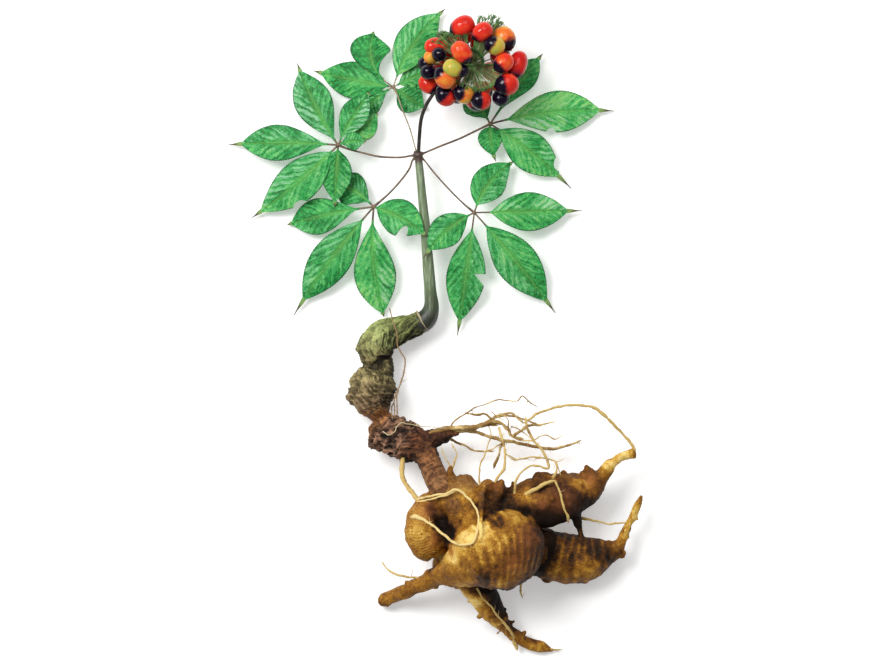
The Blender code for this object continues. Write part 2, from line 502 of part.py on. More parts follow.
def leaflet(name, hub, tip, width, belly, stalk, drip, bow, arch, bites):
    """A leaflet: a round stalk that opens into a blade, a little folded, and ends in a thin tip."""
    start, end = Vector(hub), Vector(tip)
    run = (end - start).length
    flat_left = Vector((-(end - start).y, (end - start).x, 0)).normalized()
    shares = [0.12, 0.30, 0.50, 0.70, 0.88]
    for _, place, reach, _ in bites:
        shares = [share for share in shares if abs(share - place) > reach]
        shares += [place - reach, place, place + reach]
    blade_run = run - stalk - drip
    places = [0, stalk] + [stalk + blade_run * share for share in sorted(shares)]
    places += [run - drip, run - drip * 0.3]

    def midrib(along):
        share = along / run
        bend = 4 * share * (1 - share)
        return start.lerp(end, share) + flat_left * bow * bend + Vector((0, 0, arch * bend))

    rings = []
    for along in places:
        middle = midrib(along)
        ahead = (midrib(min(along + 1, run)) - midrib(max(along - 1, 0))).normalized()
        left = Vector((0, 0, 1)).cross(ahead).normalized()
        up = ahead.cross(left)
        share = (along - stalk) / blade_run
        if 0 < share < 1:
            halves = [max(blade_outline(share, width, belly, bites, side), PETIOLULE) for side in (-1, 1)]
            wave = 0.5 * math.sin(9 * share)
            edges = [(-0.08 * halves[0] + wave), (-0.08 * halves[1] - wave)]
            rib = BLADE / 2 + RIB
        else:
            thin = PETIOLULE if share <= 0 else PETIOLULE * 0.8
            halves, edges, rib = [thin, thin], [0, 0], thin
        lift = BLADE / 2
        rings.append([
            middle + left * halves[0] + up * (edges[0] + lift),
            middle + up * rib,
            middle - left * halves[1] + up * (edges[1] + lift),
            middle - left * halves[1] + up * (edges[1] - lift),
            middle - up * rib,
            middle + left * halves[0] + up * (edges[0] - lift),
        ])
    return as_object(blade_solid(rings, start, end), name)


def blade_solid(rings, start, end):
    """Rings of six points joined so that the top and the underside are split into triangles alike."""
    shape = bmesh.new()
    rows = [[shape.verts.new(point * MM) for point in ring] for ring in rings]
    for lower, upper in zip(rows, rows[1:]):
        for i, j in ((0, 1), (5, 4), (2, 3)):
            shape.faces.new((lower[i], lower[j], upper[i]))
            shape.faces.new((lower[j], upper[j], upper[i]))
        for i, j in ((2, 1), (3, 4), (0, 5)):
            shape.faces.new((lower[i], lower[j], upper[i]))
            shape.faces.new((lower[j], upper[j], upper[i]))
    first, last = shape.verts.new(start * MM), shape.verts.new(end * MM)
    for i in range(6):
        j = (i + 1) % 6
        shape.faces.new((first, rows[0][j], rows[0][i]))
        shape.faces.new((last, rows[-1][i], rows[-1][j]))
    bmesh.ops.recalc_face_normals(shape, faces=shape.faces)
    return shape


def make_leaf(name, parts, material):
    hub = parts["hub"]
    route = [(*place, PETIOLE) for place in (*parts["petiole"], hub)]
    pieces = [
        loft(name + "_petiole", route, 2 * len(route), 5),
        ball(name + "_hub", hub, (1.3, 1.3, 1.3), segments=6, rings=4),
    ]
    for i, sizes in enumerate(parts["leaflets"]):
        pieces.append(leaflet(f"{name}_leaflet_{i}", hub, *sizes))
    return fused(name, pieces, material, parts["petiole"][0])


def back_berries():
    """Berries spread evenly over the side of the head that faces the surface."""
    high, low = BACK_LEAN
    for i in range(BACK_BERRIES):
        down = high + (low - high) * (i + 0.5) / BACK_BERRIES
        across = math.sqrt(1 - down**2)
        angle = GOLDEN_ANGLE * i
        out = Vector((across * math.cos(angle), across * math.sin(angle), down))
        yield out * BACK_REACH, out, 0.95


def bud_tips():
    """The ends of the rays that carry a bud: a fan on the far side of the head."""
    near, far = BUD_REACH
    for i in range(BUDS):
        share = (i + 0.5) / BUDS
        angle = math.radians(20 + 130 * share)
        lift = 0.55 * math.sin(GOLDEN_ANGLE * i)
        reach = near + (far - near) * ((i * 0.618) % 1)
        yield Vector((math.cos(angle), math.sin(angle), lift)).normalized() * reach


def make_berry_head(material):
    middle = Vector(UMBEL)
    route = [(*place, PEDUNCLE) for place in (*PEDUNCLE_ROUTE, UMBEL)]
    pieces = [loft("peduncle", route, 16, 6), ball("receptacle", middle, (2.4, 2.4, 2.4))]
    for i, (place, dark_end, size) in enumerate([*BERRIES, *back_berries()]):
        centre = middle + Vector(place)
        radii = [half * size for half in BERRY]
        pieces.append(ball(f"berry_{i}", centre, radii, dark_end, segments=7, rings=5))
        pieces.append(loft(f"ray_{i}", [(*middle, RAY), (*centre, RAY)], 2, 4))
    for i, tip in enumerate(bud_tips()):
        pieces.append(loft(f"bud_ray_{i}", [(*middle, RAY), (*(middle + tip), RAY * 0.8)], 2, 4))
        pieces.append(ball(f"bud_{i}", middle + tip, (BUD, BUD, BUD * 1.3), tip, segments=5, rings=3))
    return fused("berry_head", pieces, material, UMBEL, solver="MANIFOLD")


def main():
    clear_scene()
    root_brown = finish("root_brown", (0.36, 0.20, 0.07), 0.6)
    rhizome_brown = finish("rhizome_brown", (0.16, 0.12, 0.05), 0.8)
    rootlet_tan = finish("rootlet_tan", (0.55, 0.40, 0.18), 0.7)
    stem_green = finish("stem_green", (0.12, 0.15, 0.07), 0.5)
    leaf_green = finish("leaf_green", (0.06, 0.36, 0.10), 0.5)
    berry_red = finish("berry_red", (0.70, 0.05, 0.03), 0.2)
    make_tuberous_root(root_brown)
    make_rhizome(rhizome_brown)
    make_fibrous_roots(rootlet_tan)
    make_stem(stem_green)
    for name, parts in LEAVES.items():
        make_leaf(name, parts, leaf_green)
    make_berry_head(berry_red)


main()
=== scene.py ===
"""The looks of a Vietnamese ginseng plant that was dug up whole and laid on a pale floor, seen from above.

Sizes and places are millimetres, as in the part's source, and become metres where a mesh is made.
"""

import itertools
import logging
import math
from dataclasses import dataclass, field
from enum import Enum
from typing import Any, Iterable, Sequence

import bpy
import numpy as np
from mathutils import Matrix, Vector


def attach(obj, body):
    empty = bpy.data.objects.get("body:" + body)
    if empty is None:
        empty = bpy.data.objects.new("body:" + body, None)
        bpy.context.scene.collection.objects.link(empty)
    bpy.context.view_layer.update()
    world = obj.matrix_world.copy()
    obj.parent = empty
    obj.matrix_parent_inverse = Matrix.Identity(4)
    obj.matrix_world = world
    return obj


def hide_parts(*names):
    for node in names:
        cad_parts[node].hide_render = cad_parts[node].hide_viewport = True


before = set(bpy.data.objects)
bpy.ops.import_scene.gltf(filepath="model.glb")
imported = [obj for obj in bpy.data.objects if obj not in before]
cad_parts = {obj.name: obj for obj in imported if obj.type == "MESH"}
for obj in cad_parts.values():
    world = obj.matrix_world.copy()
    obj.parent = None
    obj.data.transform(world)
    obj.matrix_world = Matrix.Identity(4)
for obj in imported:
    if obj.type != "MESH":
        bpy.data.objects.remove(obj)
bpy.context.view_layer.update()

MM = 0.001
GOLDEN_ANGLE = math.pi * (3 - math.sqrt(5))
GOLDEN_SHARE = 0.618
log = logging.getLogger("ginseng")

# Smooth routes: how many places are worked out between two given points.
CURVE_STEPS = 24
# Noise: how far each pattern is from the last, and how a cell's corners are turned into numbers.
PATTERN_SHIFT = 31.7
CORNER_FACTORS = (73856093, 19349663, 83492791)
MIXING = ((15, 2246822519), (13, 3266489917))
LOW_BITS = 0xFFFFFFFF
# Looking up limbs: how many vertices at a time, the thinnest limb, and the distance of a limb that isn't there.
LOOKUP_ROWS = 20000
THINNEST_LIMB = 0.8
NO_LIMB = 9.0
# Rootlets: their thinnest radius, a hair's radius, the stations to a hair, and those before they wander.
THINNEST_ROOT = 0.19
HAIR_RADIUS = 0.17
STATIONS_PER_HAIR = 14
STEADY_STATIONS = 12

Station = tuple[float, float, float, float]
Place = tuple[float, float, float]
Colour = tuple[float, float, float]


# Modelling steps.


def pick(*objects: bpy.types.Object) -> None:
    """Select only some objects, and make the first one active.

    Args:
        *objects: The objects.
    """
    bpy.ops.object.select_all(action="DESELECT")
    for obj in objects:
        obj.select_set(True)
    bpy.context.view_layer.objects.active = objects[0]


def modify(obj: bpy.types.Object, kind: str, **settings: Any) -> None:
    """Add one modifier, set it and apply it.

    Args:
        obj: The mesh object to change.
        kind: The modifier's type.
        **settings: Its settings by name.
    """
    pick(obj)
    bpy.ops.object.modifier_add(type=kind)
    modifier = obj.modifiers[-1]
    for name, value in settings.items():
        setattr(modifier, name, value)
    bpy.ops.object.modifier_apply(modifier=modifier.name)


def join(objects: Sequence[bpy.types.Object], name: str) -> bpy.types.Object:
    """Join objects into one whose place is in its mesh.

    Args:
        objects: The mesh objects, which are used up.
        name: The name of the joined object.

    Returns:
        The joined object.
    """
    pick(*objects)
    if len(objects) > 1:
        bpy.ops.object.join()
    joined = bpy.context.view_layer.objects.active
    bpy.ops.object.transform_apply(location=True, rotation=True, scale=True)
    joined.name = joined.data.name = name
    return joined


def ball(place: Sequence[float], radii: Sequence[float], along: Sequence[float] = (0, 0, 1),
         segments: int = 24, rings: int = 14) -> bpy.types.Object:
    """Add an egg.

    Args:
        place: Its middle, in millimetres.
        radii: Its half sizes, in millimetres, the last one along its axis.
        along: The direction of its axis.
        segments: Faces round it.
        rings: Faces from end to end.

    Returns:
        The new object.
    """
    bpy.ops.object.select_all(action="DESELECT")
    bpy.ops.mesh.primitive_uv_sphere_add(segments=segments, ring_count=rings, radius=MM)
    egg = bpy.context.object
    turn = Vector(along).to_track_quat("Z", "Y").to_matrix().to_4x4()
    egg.matrix_world = Matrix.Translation(Vector(place) * MM) @ turn @ Matrix.Diagonal((*radii, 1))
    return egg


def tubes(name: str, routes: Iterable[np.ndarray], sides: int = 12) -> bpy.types.Object:
    """Sweep a round section along routes, as one mesh.

    Args:
        name: The name of the object.
        routes: Rows of stations: x, y, z and radius, in millimetres.
        sides: Faces round each tube.

    Returns:
        The new mesh object.
    """
    bpy.ops.object.select_all(action="DESELECT")
    bpy.ops.curve.primitive_nurbs_path_add(radius=MM)
    obj = bpy.context.object
    curve = obj.data
    curve.splines.clear()
    curve.dimensions = "3D"
    curve.twist_mode = "MINIMUM"
    curve.bevel_depth = MM
    curve.bevel_resolution = sides // 2 - 2
    curve.use_fill_caps = True
    for route in routes:
        spline = curve.splines.new("POLY")
        spline.points.add(len(route) - 1)
        places = np.column_stack([route[:, :3] * MM, np.ones(len(route))])
        spline.points.foreach_set("co", places.ravel())
        spline.points.foreach_set("radius", route[:, 3])
    pick(obj)
    bpy.ops.object.convert(target="MESH")
    return join([bpy.context.object], name)


def points_of(obj: bpy.types.Object) -> np.ndarray:
    """Read the places of a mesh's vertices.

    Args:
        obj: The mesh object.

    Returns:
        One row for each vertex, in millimetres.
    """
    places = np.empty(len(obj.data.vertices) * 3)
    obj.data.vertices.foreach_get("co", places)
    return places.reshape(-1, 3) / MM


def normals_of(obj: bpy.types.Object) -> np.ndarray:
    """Read the directions in which a mesh's vertices face.

    Args:
        obj: The mesh object.

    Returns:
        One row for each vertex.
    """
    normals = np.empty(len(obj.data.vertices) * 3)
    obj.data.vertex_normals.foreach_get("vector", normals)
    return normals.reshape(-1, 3)


def move_points(obj: bpy.types.Object, places: np.ndarray) -> None:
    """Put a mesh's vertices at new places, in millimetres."""
    obj.data.vertices.foreach_set("co", (places * MM).ravel())
    obj.data.update()


def raise_skin(obj: bpy.types.Object, points: np.ndarray, normals: np.ndarray, height: np.ndarray) -> None:
    """Move a mesh's vertices outwards, but not into the floor.

    Args:
        obj: The mesh object.
        points: The places of its vertices, in millimetres.
        normals: The directions in which they face.
        height: How far each one moves, in millimetres.
    """
    moved = points + normals * height[:, None]
    moved[:, 2] = np.maximum(moved[:, 2], 0.0)
    move_points(obj, moved)


def fuse(parts: Sequence[bpy.types.Object], name: str, voxel: float, soften: int) -> bpy.types.Object:
    """Grow overlapping parts together under one skin.

    Args:
        parts: The mesh objects, which are used up.
        name: The name of the skin.
        voxel: How wide its faces are, in millimetres.
        soften: How many times it is smoothed.

    Returns:
        The skin.
    """
    obj = join(parts, name)
    modify(obj, "REMESH", mode="VOXEL", voxel_size=voxel * MM)
    modify(obj, "SMOOTH", factor=0.5, iterations=soften)
    return obj


def note(obj: bpy.types.Object, **notes: np.ndarray | float) -> None:
    """Keep numbers for each vertex, for the finish to read.

    Args:
        obj: The piece.
        **notes: The numbers by name, one for each vertex or one for all.
    """
    for name, values in notes.items():
        layer = obj.data.attributes.new(name, "FLOAT", "POINT")
        every = np.full(len(obj.data.vertices), values, np.float32)
        layer.data.foreach_set("value", every)


def dress(obj: bpy.types.Object, finish: bpy.types.Material) -> bpy.types.Object:
    """Shade a piece smooth and give it its finish.

    Args:
        obj: The piece.
        finish: Its material.

    Returns:
        The same piece.
    """
    pick(obj)
    bpy.ops.object.shade_smooth()
    obj.data.materials.append(finish)
    return obj


# Shapes worked out in numbers.


def unit(rows: np.ndarray) -> np.ndarray:
    """Each row brought to a length of 1."""
    return rows / np.linalg.norm(rows, axis=-1, keepdims=True)


def run_along(route: np.ndarray) -> np.ndarray:
    """How far it is along a route to each of its stations."""
    return np.concatenate([[0], np.cumsum(np.linalg.norm(np.diff(route[:, :3], axis=0), axis=1))])


def bell(values: np.ndarray, width: float) -> np.ndarray:
    """1 where the values are 0, and falling smoothly past the width on either side."""
    return np.exp(-((values / width) ** 2))


def spot(points: np.ndarray, centre: Sequence[float], radius: float | Place) -> np.ndarray:
    """1 at a centre, and falling smoothly past the radius round it."""
    return np.exp(-(((points - centre) / radius) ** 2).sum(axis=1))


def smooth_route(points: Sequence[Sequence[float]], step: float) -> np.ndarray:
    """Even stations on a smooth curve through the points, whose first three values are a place.

    Args:
        points: The rows to pass through.
        step: About how far apart the stations are, in millimetres.

    Returns:
        One row for each station, with as many values as the points have.
    """
    given = np.array(points, float)
    padded = np.vstack([2 * given[0] - given[1], given, 2 * given[-1] - given[-2]])
    steps = np.linspace(0, 1, CURVE_STEPS, endpoint=False)[:, None]
    fine = []
    for a, b, c, d in zip(padded, padded[1:], padded[2:], padded[3:]):
        square = (2 * a - 5 * b + 4 * c - d) * steps**2
        cube = (3 * b - a - 3 * c + d) * steps**3
        fine.append(0.5 * (2 * b + (c - a) * steps + square + cube))
    fine = np.vstack([*fine, given[-1:]])
    along = run_along(fine)
    wanted = np.linspace(0, along[-1], max(3, round(along[-1] / step) + 1))
    return np.column_stack([np.interp(wanted, along, column) for column in fine.T])


def noise(points: np.ndarray, size: float, seed: int = 0) -> np.ndarray:
    """Smooth noise from -1 to 1.

    Args:
        points: Where to read it, in millimetres.
        size: How wide its bumps are, in millimetres.
        seed: Picks one of many patterns.

    Returns:
        One value for each point.
    """
    scaled = points / size + PATTERN_SHIFT * seed
    cell = np.floor(scaled).astype(np.int64)
    inside = scaled - cell
    blend = inside * inside * (3 - 2 * inside)
    total = np.zeros(len(points))
    for corner in itertools.product((0, 1), repeat=3):
        mixed = ((cell + corner) * CORNER_FACTORS).sum(axis=1) & LOW_BITS
        for shift, factor in MIXING:
            mixed = ((mixed ^ (mixed >> shift)) * factor) & LOW_BITS
        value = ((mixed ^ (mixed >> 16)) & 0xFFFF) / 0x7FFF - 1
        weight = np.where(np.array(corner, bool), blend, 1 - blend).prod(axis=1)
        total += value * weight
    return total


def fractal(points: np.ndarray, size: float, octaves: int = 3, seed: int = 0) -> np.ndarray:
    """Noise with finer noise on it, from about -1 to 1."""
    total = sum(noise(points, size / 2**i, seed + i) / 2**i for i in range(octaves))
    return total / (2 - 2 ** (1 - octaves))


def ridges(points: np.ndarray, size: float, octaves: int = 3, seed: int = 0) -> np.ndarray:
    """Noise with sharp crests, from 0 in its valleys to 1."""
    total = sum((1 - abs(noise(points, size / 2**i, seed + i))) ** 2 / 2**i for i in range(octaves))
    return total / (2 - 2 ** (1 - octaves))


def ramp(values: np.ndarray, low: float, high: float) -> np.ndarray:
    """0 below low, 1 above high, and smooth between."""
    share = np.clip((values - low) / (high - low), 0, 1)
    return share * share * (3 - 2 * share)


@dataclass
class Reading:
    """Where the vertices of a mesh lie along the axes of the limbs that it is made of.

    Attributes:
        owner: Which limb each vertex belongs to.
        along: How far along that limb it is, in millimetres.
        local: Its place along the limb and on the two directions across it.
        ratio: Its distance from the limb's axis, as a share of the radius there.
        second: The same for the next nearest limb.
    """

    owner: np.ndarray
    along: np.ndarray
    local: np.ndarray
    ratio: np.ndarray
    second: np.ndarray


def read_axes(points: np.ndarray, routes: Sequence[np.ndarray]) -> Reading:
    """Find the limb that each point belongs to.

    Args:
        points: The places to look up, in millimetres.
        routes: The stations of each limb.

    Returns:
        What was found for each point.
    """
    ratios, locals_ = [], []
    for route in routes:
        places, radii = route[:, :3], np.maximum(route[:, 3], THINNEST_LIMB)
        ahead = unit(np.gradient(places, axis=0))
        side = unit(np.cross(ahead, (0, 0, 1)))
        up = np.cross(side, ahead)
        nearest = np.empty(len(points), int)
        for start in range(0, len(points), LOOKUP_ROWS):
            part = points[start:start + LOOKUP_ROWS]
            gaps = np.linalg.norm(part[:, None] - places[None], axis=2) / radii[None]
            nearest[start:start + LOOKUP_ROWS] = gaps.argmin(axis=1)
        offset = points - places[nearest]
        forward, across, above = (np.einsum("ij,ij->i", offset, axis[nearest]) for axis in (ahead, side, up))
        ratios.append(np.linalg.norm(offset, axis=1) / radii[nearest])
        locals_.append(np.column_stack([run_along(places)[nearest] + forward, across, above]))
    ratios = np.array(ratios)
    owner = ratios.argmin(axis=0)
    rows = np.arange(len(points))
    local = np.array(locals_)[owner, rows]
    second = np.sort(ratios, axis=0)[1] if len(routes) > 1 else np.full(len(points), NO_LIMB)
    return Reading(owner, local[:, 0], local, ratios[owner, rows], second)


# Shader maths.


class Wire:
    """A shader socket that carries a number, with the operators that shader maths needs."""

    def __init__(self, tree: bpy.types.NodeTree, socket: bpy.types.NodeSocket) -> None:
        """Wrap one output socket of a tree."""
        self.tree = tree
        self.socket = socket

    def _math(self, operation: str, *terms: "Wire | float", clamp: bool = False) -> "Wire":
        """Add one Math node.

        Args:
            operation: What it does.
            *terms: What it reads, in order.
            clamp: Whether its result is held between 0 and 1.

        Returns:
            Its result.
        """
        node = self.tree.nodes.new("ShaderNodeMath")
        node.operation = operation
        node.use_clamp = clamp
        for socket, term in zip(node.inputs, terms):
            if isinstance(term, Wire):
                self.tree.links.new(term.socket, socket)
            else:
                socket.default_value = term
        return Wire(self.tree, node.outputs[0])

    def __add__(self, other: "Wire | float") -> "Wire":
        """The sum."""
        return self._math("ADD", self, other)

    def __sub__(self, other: "Wire | float") -> "Wire":
        """The difference."""
        return self._math("SUBTRACT", self, other)

    def __mul__(self, other: "Wire | float") -> "Wire":
        """The product."""
        return self._math("MULTIPLY", self, other)

    def __rsub__(self, other: float) -> "Wire":
        """The difference from a number."""
        return self._math("SUBTRACT", other, self)

    __radd__ = __add__
    __rmul__ = __mul__

    def __abs__(self) -> "Wire":
        """The size without its sign."""
        return self._math("ABSOLUTE", self)

    def clamped(self) -> "Wire":
        """The value held between 0 and 1."""
        return self._math("ADD", self, 0.0, clamp=True)


class Recipe:
    """A material under construction: its node tree and the few ways of adding to it."""

    def __init__(self, name: str) -> None:
        """Start a material of one Principled shader.

        Args:
            name: The material's name.
        """
        self.material = bpy.data.materials.new(name)
        self.material.use_nodes = True
        self.tree = self.material.node_tree
        self.shader = self.tree.nodes["Principled BSDF"]

    def node(self, kind: str, settings: dict[str, Any] | None = None,
             inputs: dict[str | int, Any] | None = None) -> bpy.types.Node:
        """Add any node.

        Args:
            kind: The node's type, without ShaderNode before it.
            settings: Its own settings, set first.
            inputs: Numbers, colours, vectors or links for its sockets.

        Returns:
            The new node.
        """
        node = self.tree.nodes.new("ShaderNode" + kind)
        for name, value in (settings or {}).items():
            setattr(node, name, value)
        for name, value in (inputs or {}).items():
            self.feed(node.inputs[name], value)
        return node

    def feed(self, socket: bpy.types.NodeSocket, value: Any) -> None:
        """Link something to a socket, or set the socket's own value.

        Args:
            socket: The socket.
            value: A wire, an output, a colour, a vector or a number.
        """
        if isinstance(value, Wire):
            self.tree.links.new(value.socket, socket)
        elif isinstance(value, bpy.types.NodeSocket):
            self.tree.links.new(value, socket)
        elif isinstance(value, tuple) and len(value) == 3 and socket.type == "RGBA":
            socket.default_value = (*value, 1)
        else:
            socket.default_value = value

    def place(self) -> bpy.types.NodeSocket:
        """The piece's own coordinates, in metres."""
        return self.node("TexCoord").outputs["Object"]

    def noted(self, name: str) -> Wire:
        """A number kept for each vertex."""
        return Wire(self.tree, self.node("Attribute", {"attribute_name": name}).outputs["Fac"])

    def grain(self, size: float, detail: float = 3.0, stretch: Place = (1, 1, 1)) -> Wire:
        """Add noise that is read at the piece's own coordinates.

        Args:
            size: About how wide its bumps are, in millimetres.
            detail: How many finer layers lie on them.
            stretch: How much closer together they are along each axis.

        Returns:
            The noise, from 0 to 1.
        """
        mapping = self.node("Mapping", None, {"Vector": self.place(), "Scale": stretch})
        texture = self.node("TexNoise", None, {
            "Vector": mapping.outputs[0], "Scale": 1 / (size * MM), "Detail": detail, "Roughness": 0.55,
        })
        return Wire(self.tree, texture.outputs["Fac"])

    def streaks(self, scale: float, *ways: Wire) -> Wire:
        """Add noise that is read at three numbers noted for each vertex, so that it follows the piece.

        Args:
            scale: How many streaks there are to 1.
            *ways: The three numbers.

        Returns:
            The noise, from 0 to 1.
        """
        lane = self.node("CombineXYZ", None, dict(zip("XYZ", ways)))
        texture = self.node("TexNoise", None, {
            "Vector": lane.outputs[0], "Scale": scale, "Detail": 4.0, "Roughness": 0.62,
        })
        return Wire(self.tree, texture.outputs["Fac"])

    def cells(self, size: float) -> Wire:
        """The distance to the nearest of many scattered points, about this many millimetres apart."""
        texture = self.node("TexVoronoi", None, {"Vector": self.place(), "Scale": 1 / (size * MM)})
        return Wire(self.tree, texture.outputs["Distance"])

    def between(self, value: Wire, low: float, high: float) -> Wire:
        """Add a smooth step.

        Args:
            value: What it reads.
            low: Where it is 0, and beyond.
            high: Where it is 1, and beyond.

        Returns:
            The step.
        """
        settings = {"interpolation_type": "SMOOTHSTEP"}
        inputs = {"Value": value, "From Min": low, "From Max": high}
        return Wire(self.tree, self.node("MapRange", settings, inputs).outputs["Result"])

    def mix(self, share: Wire | float, first: Any, second: Any) -> bpy.types.NodeSocket:
        """Mix two colours.

        Args:
            share: How much of the second there is.
            first: The first colour.
            second: The second colour.

        Returns:
            The mixed colour.
        """
        node = self.node("Mix", {"data_type": "RGBA", "blend_type": "MIX"})
        colours = [socket for socket in node.inputs if socket.type == "RGBA"]
        self.feed(node.inputs["Factor"], share)
        self.feed(colours[0], first)
        self.feed(colours[1], second)
        return next(socket for socket in node.outputs if socket.type == "RGBA")

    def ramp(self, value: Wire, stops: Sequence[tuple[float, Colour]]) -> bpy.types.NodeSocket:
        """Read a colour off a ramp.

        Args:
            value: Where to read it.
            stops: The places and colours on it.

        Returns:
            The colour.
        """
        node = self.node("ValToRGB")
        stops = sorted(stops)
        while len(node.color_ramp.elements) < len(stops):
            node.color_ramp.elements.new(1)
        for element, (place, colour) in zip(node.color_ramp.elements, stops):
            element.position = place
            element.color = (*colour, 1)
        self.feed(node.inputs["Fac"], value)
        return node.outputs["Color"]

    def finish(self, colour: Any, roughness: Wire | float, bump: Wire | None = None, depth: float = 0.1,
               **constants: float) -> bpy.types.Material:
        """Set the shader's inputs.

        Args:
            colour: The base colour.
            roughness: The roughness.
            bump: A height from 0 to 1, or None.
            depth: How many millimetres a height of 1 stands for.
            **constants: Values for other sockets, with _ for each space in a name.

        Returns:
            The finished material.
        """
        self.feed(self.shader.inputs["Base Color"], colour)
        self.feed(self.shader.inputs["Roughness"], roughness)
        for name, value in constants.items():
            self.shader.inputs[name.replace("_", " ")].default_value = value
        if bump is not None:
            relief = self.node("Bump", None, {"Height": bump, "Distance": depth * MM, "Strength": 1.0})
            self.feed(self.shader.inputs["Normal"], relief.outputs["Normal"])
        return self.material


# Finishes.


@dataclass(frozen=True)
class TuberSkin:
    """Ochre skin on one scale of tones, from painted shade in its creases to cream where it is freshly rubbed.
    """

    tones: tuple[tuple[float, Colour], ...] = (
        (0.00, (0.008, 0.004, 0.002)), (0.15, (0.034, 0.014, 0.005)), (0.30, (0.095, 0.034, 0.006)),
        (0.45, (0.200, 0.078, 0.009)), (0.60, (0.350, 0.155, 0.016)), (0.76, (0.570, 0.320, 0.046)),
        (1.00, (0.880, 0.650, 0.220)),
    )
    red: Colour = (0.330, 0.110, 0.035)
    grey: Colour = (0.200, 0.115, 0.070)
    relief: float = 0.60
    gloss: float = 0.13

    def make(self) -> bpy.types.Material:
        """Build the material.

        Returns:
            The material.
        """
        made = Recipe("tuber_skin")
        broad, middle, fine = made.grain(7, 4), made.grain(2.2, 5), made.grain(0.8, 3)
        ring, crest, crease = made.noted("ring"), made.noted("crest"), made.noted("crease")
        tone = made.noted("tone") * 0.36 + 0.45
        tone = tone + (broad - 0.5) * 0.42 + (middle - 0.5) * 0.46 + (fine - 0.5) * 0.52
        tone = tone - ring * (0.09 + middle * 0.17) + crest * (0.06 + fine * 0.24)
        dots = made.between(made.cells(1.15), 0.34, 0.12) * made.noted("dots")
        speck = made.between(made.cells(2.9), 0.20, 0.08) * made.between(made.grain(6), 0.44, 0.58)
        pale = made.between(made.cells(3.3), 0.16, 0.05) * made.between(made.grain(8), 0.46, 0.60)
        # The creases between the limbs are painted darker: painted shade.
        tone = tone - dots * 0.24 - speck * 0.28 + pale * 0.26 - crease * 0.46
        colour = made.ramp(tone.clamped(), self.tones)
        colour = made.mix(made.noted("red") * (0.15 + middle * 0.7), colour, self.red)
        colour = made.mix(made.noted("grey") * (middle * 0.8), colour, self.grey)
        rough = 0.46 + fine * 0.26 + crease * 0.2
        bump = middle * 0.5 + fine * 0.3 + made.grain(0.4, 2) * 0.2 - dots * 0.3
        return made.finish(colour, rough, bump, self.relief, Specular_IOR_Level=self.gloss)


@dataclass(frozen=True)
class RhizomeBark:
    """Rough bark: reddish by the crown, dark brown at the old knobs, mossy green by the stem."""

    pit: Colour = (0.010, 0.006, 0.004)
    low: tuple[tuple[float, Colour], ...] = (
        (0.00, (0.130, 0.046, 0.016)), (0.10, (0.080, 0.026, 0.010)), (0.19, (0.050, 0.016, 0.007)),
        (0.28, (0.030, 0.012, 0.008)), (0.37, (0.032, 0.013, 0.008)), (0.43, (0.130, 0.040, 0.008)),
        (0.48, (0.055, 0.032, 0.012)), (0.60, (0.060, 0.045, 0.014)), (0.70, (0.035, 0.028, 0.010)),
        (0.80, (0.034, 0.042, 0.010)), (1.00, (0.022, 0.026, 0.010)),
    )
    high: tuple[tuple[float, Colour], ...] = (
        (0.00, (0.500, 0.240, 0.090)), (0.10, (0.460, 0.190, 0.066)), (0.19, (0.240, 0.080, 0.030)),
        (0.28, (0.490, 0.270, 0.160)), (0.37, (0.470, 0.235, 0.130)), (0.43, (0.600, 0.240, 0.050)),
        (0.48, (0.460, 0.300, 0.160)), (0.60, (0.600, 0.490, 0.220)), (0.70, (0.380, 0.310, 0.130)),
        (0.80, (0.500, 0.560, 0.200)), (0.93, (0.310, 0.350, 0.110)), (1.00, (0.200, 0.210, 0.080)),
    )
    relief: float = 1.15
    gloss: float = 0.25

    def make(self) -> bpy.types.Material:
        """Build the material.

        Returns:
            The material.
        """
        made = Recipe("rhizome_bark")
        share = made.noted("share")
        along = share + (made.grain(7, 3) - 0.5) * 0.09
        middle, fine = made.grain(2.2, 4), made.grain(0.7, 4)
        streak = made.streaks(1.55, made.noted("run") * 0.20, made.noted("lane_a"), made.noted("lane_b"))
        old = made.between(share, 0.15, 0.21) * made.between(share, 0.43, 0.38)
        young = made.between(share, 0.66, 0.76)
        nodule = made.between(made.cells(3.6), 0.75, 0.15) - 0.45
        height = made.noted("ridge") * 0.7 + (streak - 0.5) * 1.3 + (middle - 0.5) * 0.4
        height = height + (fine - 0.5) * 0.9 + old * (nodule * 0.55 + 0.08)
        # Painted light: the side facing the key lamp takes more of the high colours.
        crest = made.between(height + made.noted("worn") * (0.15 + young * 0.40), -0.16, 1.14)
        colour = made.mix(crest, made.ramp(along, self.low), made.ramp(along, self.high))
        colour = made.mix(made.between(made.grain(5, 3), 0.50, 0.72) * 0.45, colour, self.pit)
        crack = made.between(made.grain(1.7, 4), 0.50, 0.66) * (0.50 + old * 0.25)
        colour = made.mix(crack, colour, self.pit)
        # Painted shade: the pits, the two shaded spots and the side away from the key lamp go almost black.
        shade = made.noted("pit") + made.noted("lee") * (0.45 + middle * 0.55)
        colour = made.mix(shade.clamped(), colour, self.pit)
        bump = streak * 0.50 + fine * 0.25 + made.grain(0.4, 2) * 0.15 + old * nodule * 0.4
        return made.finish(colour, 0.55 + fine * 0.3, bump, self.relief, Specular_IOR_Level=self.gloss)


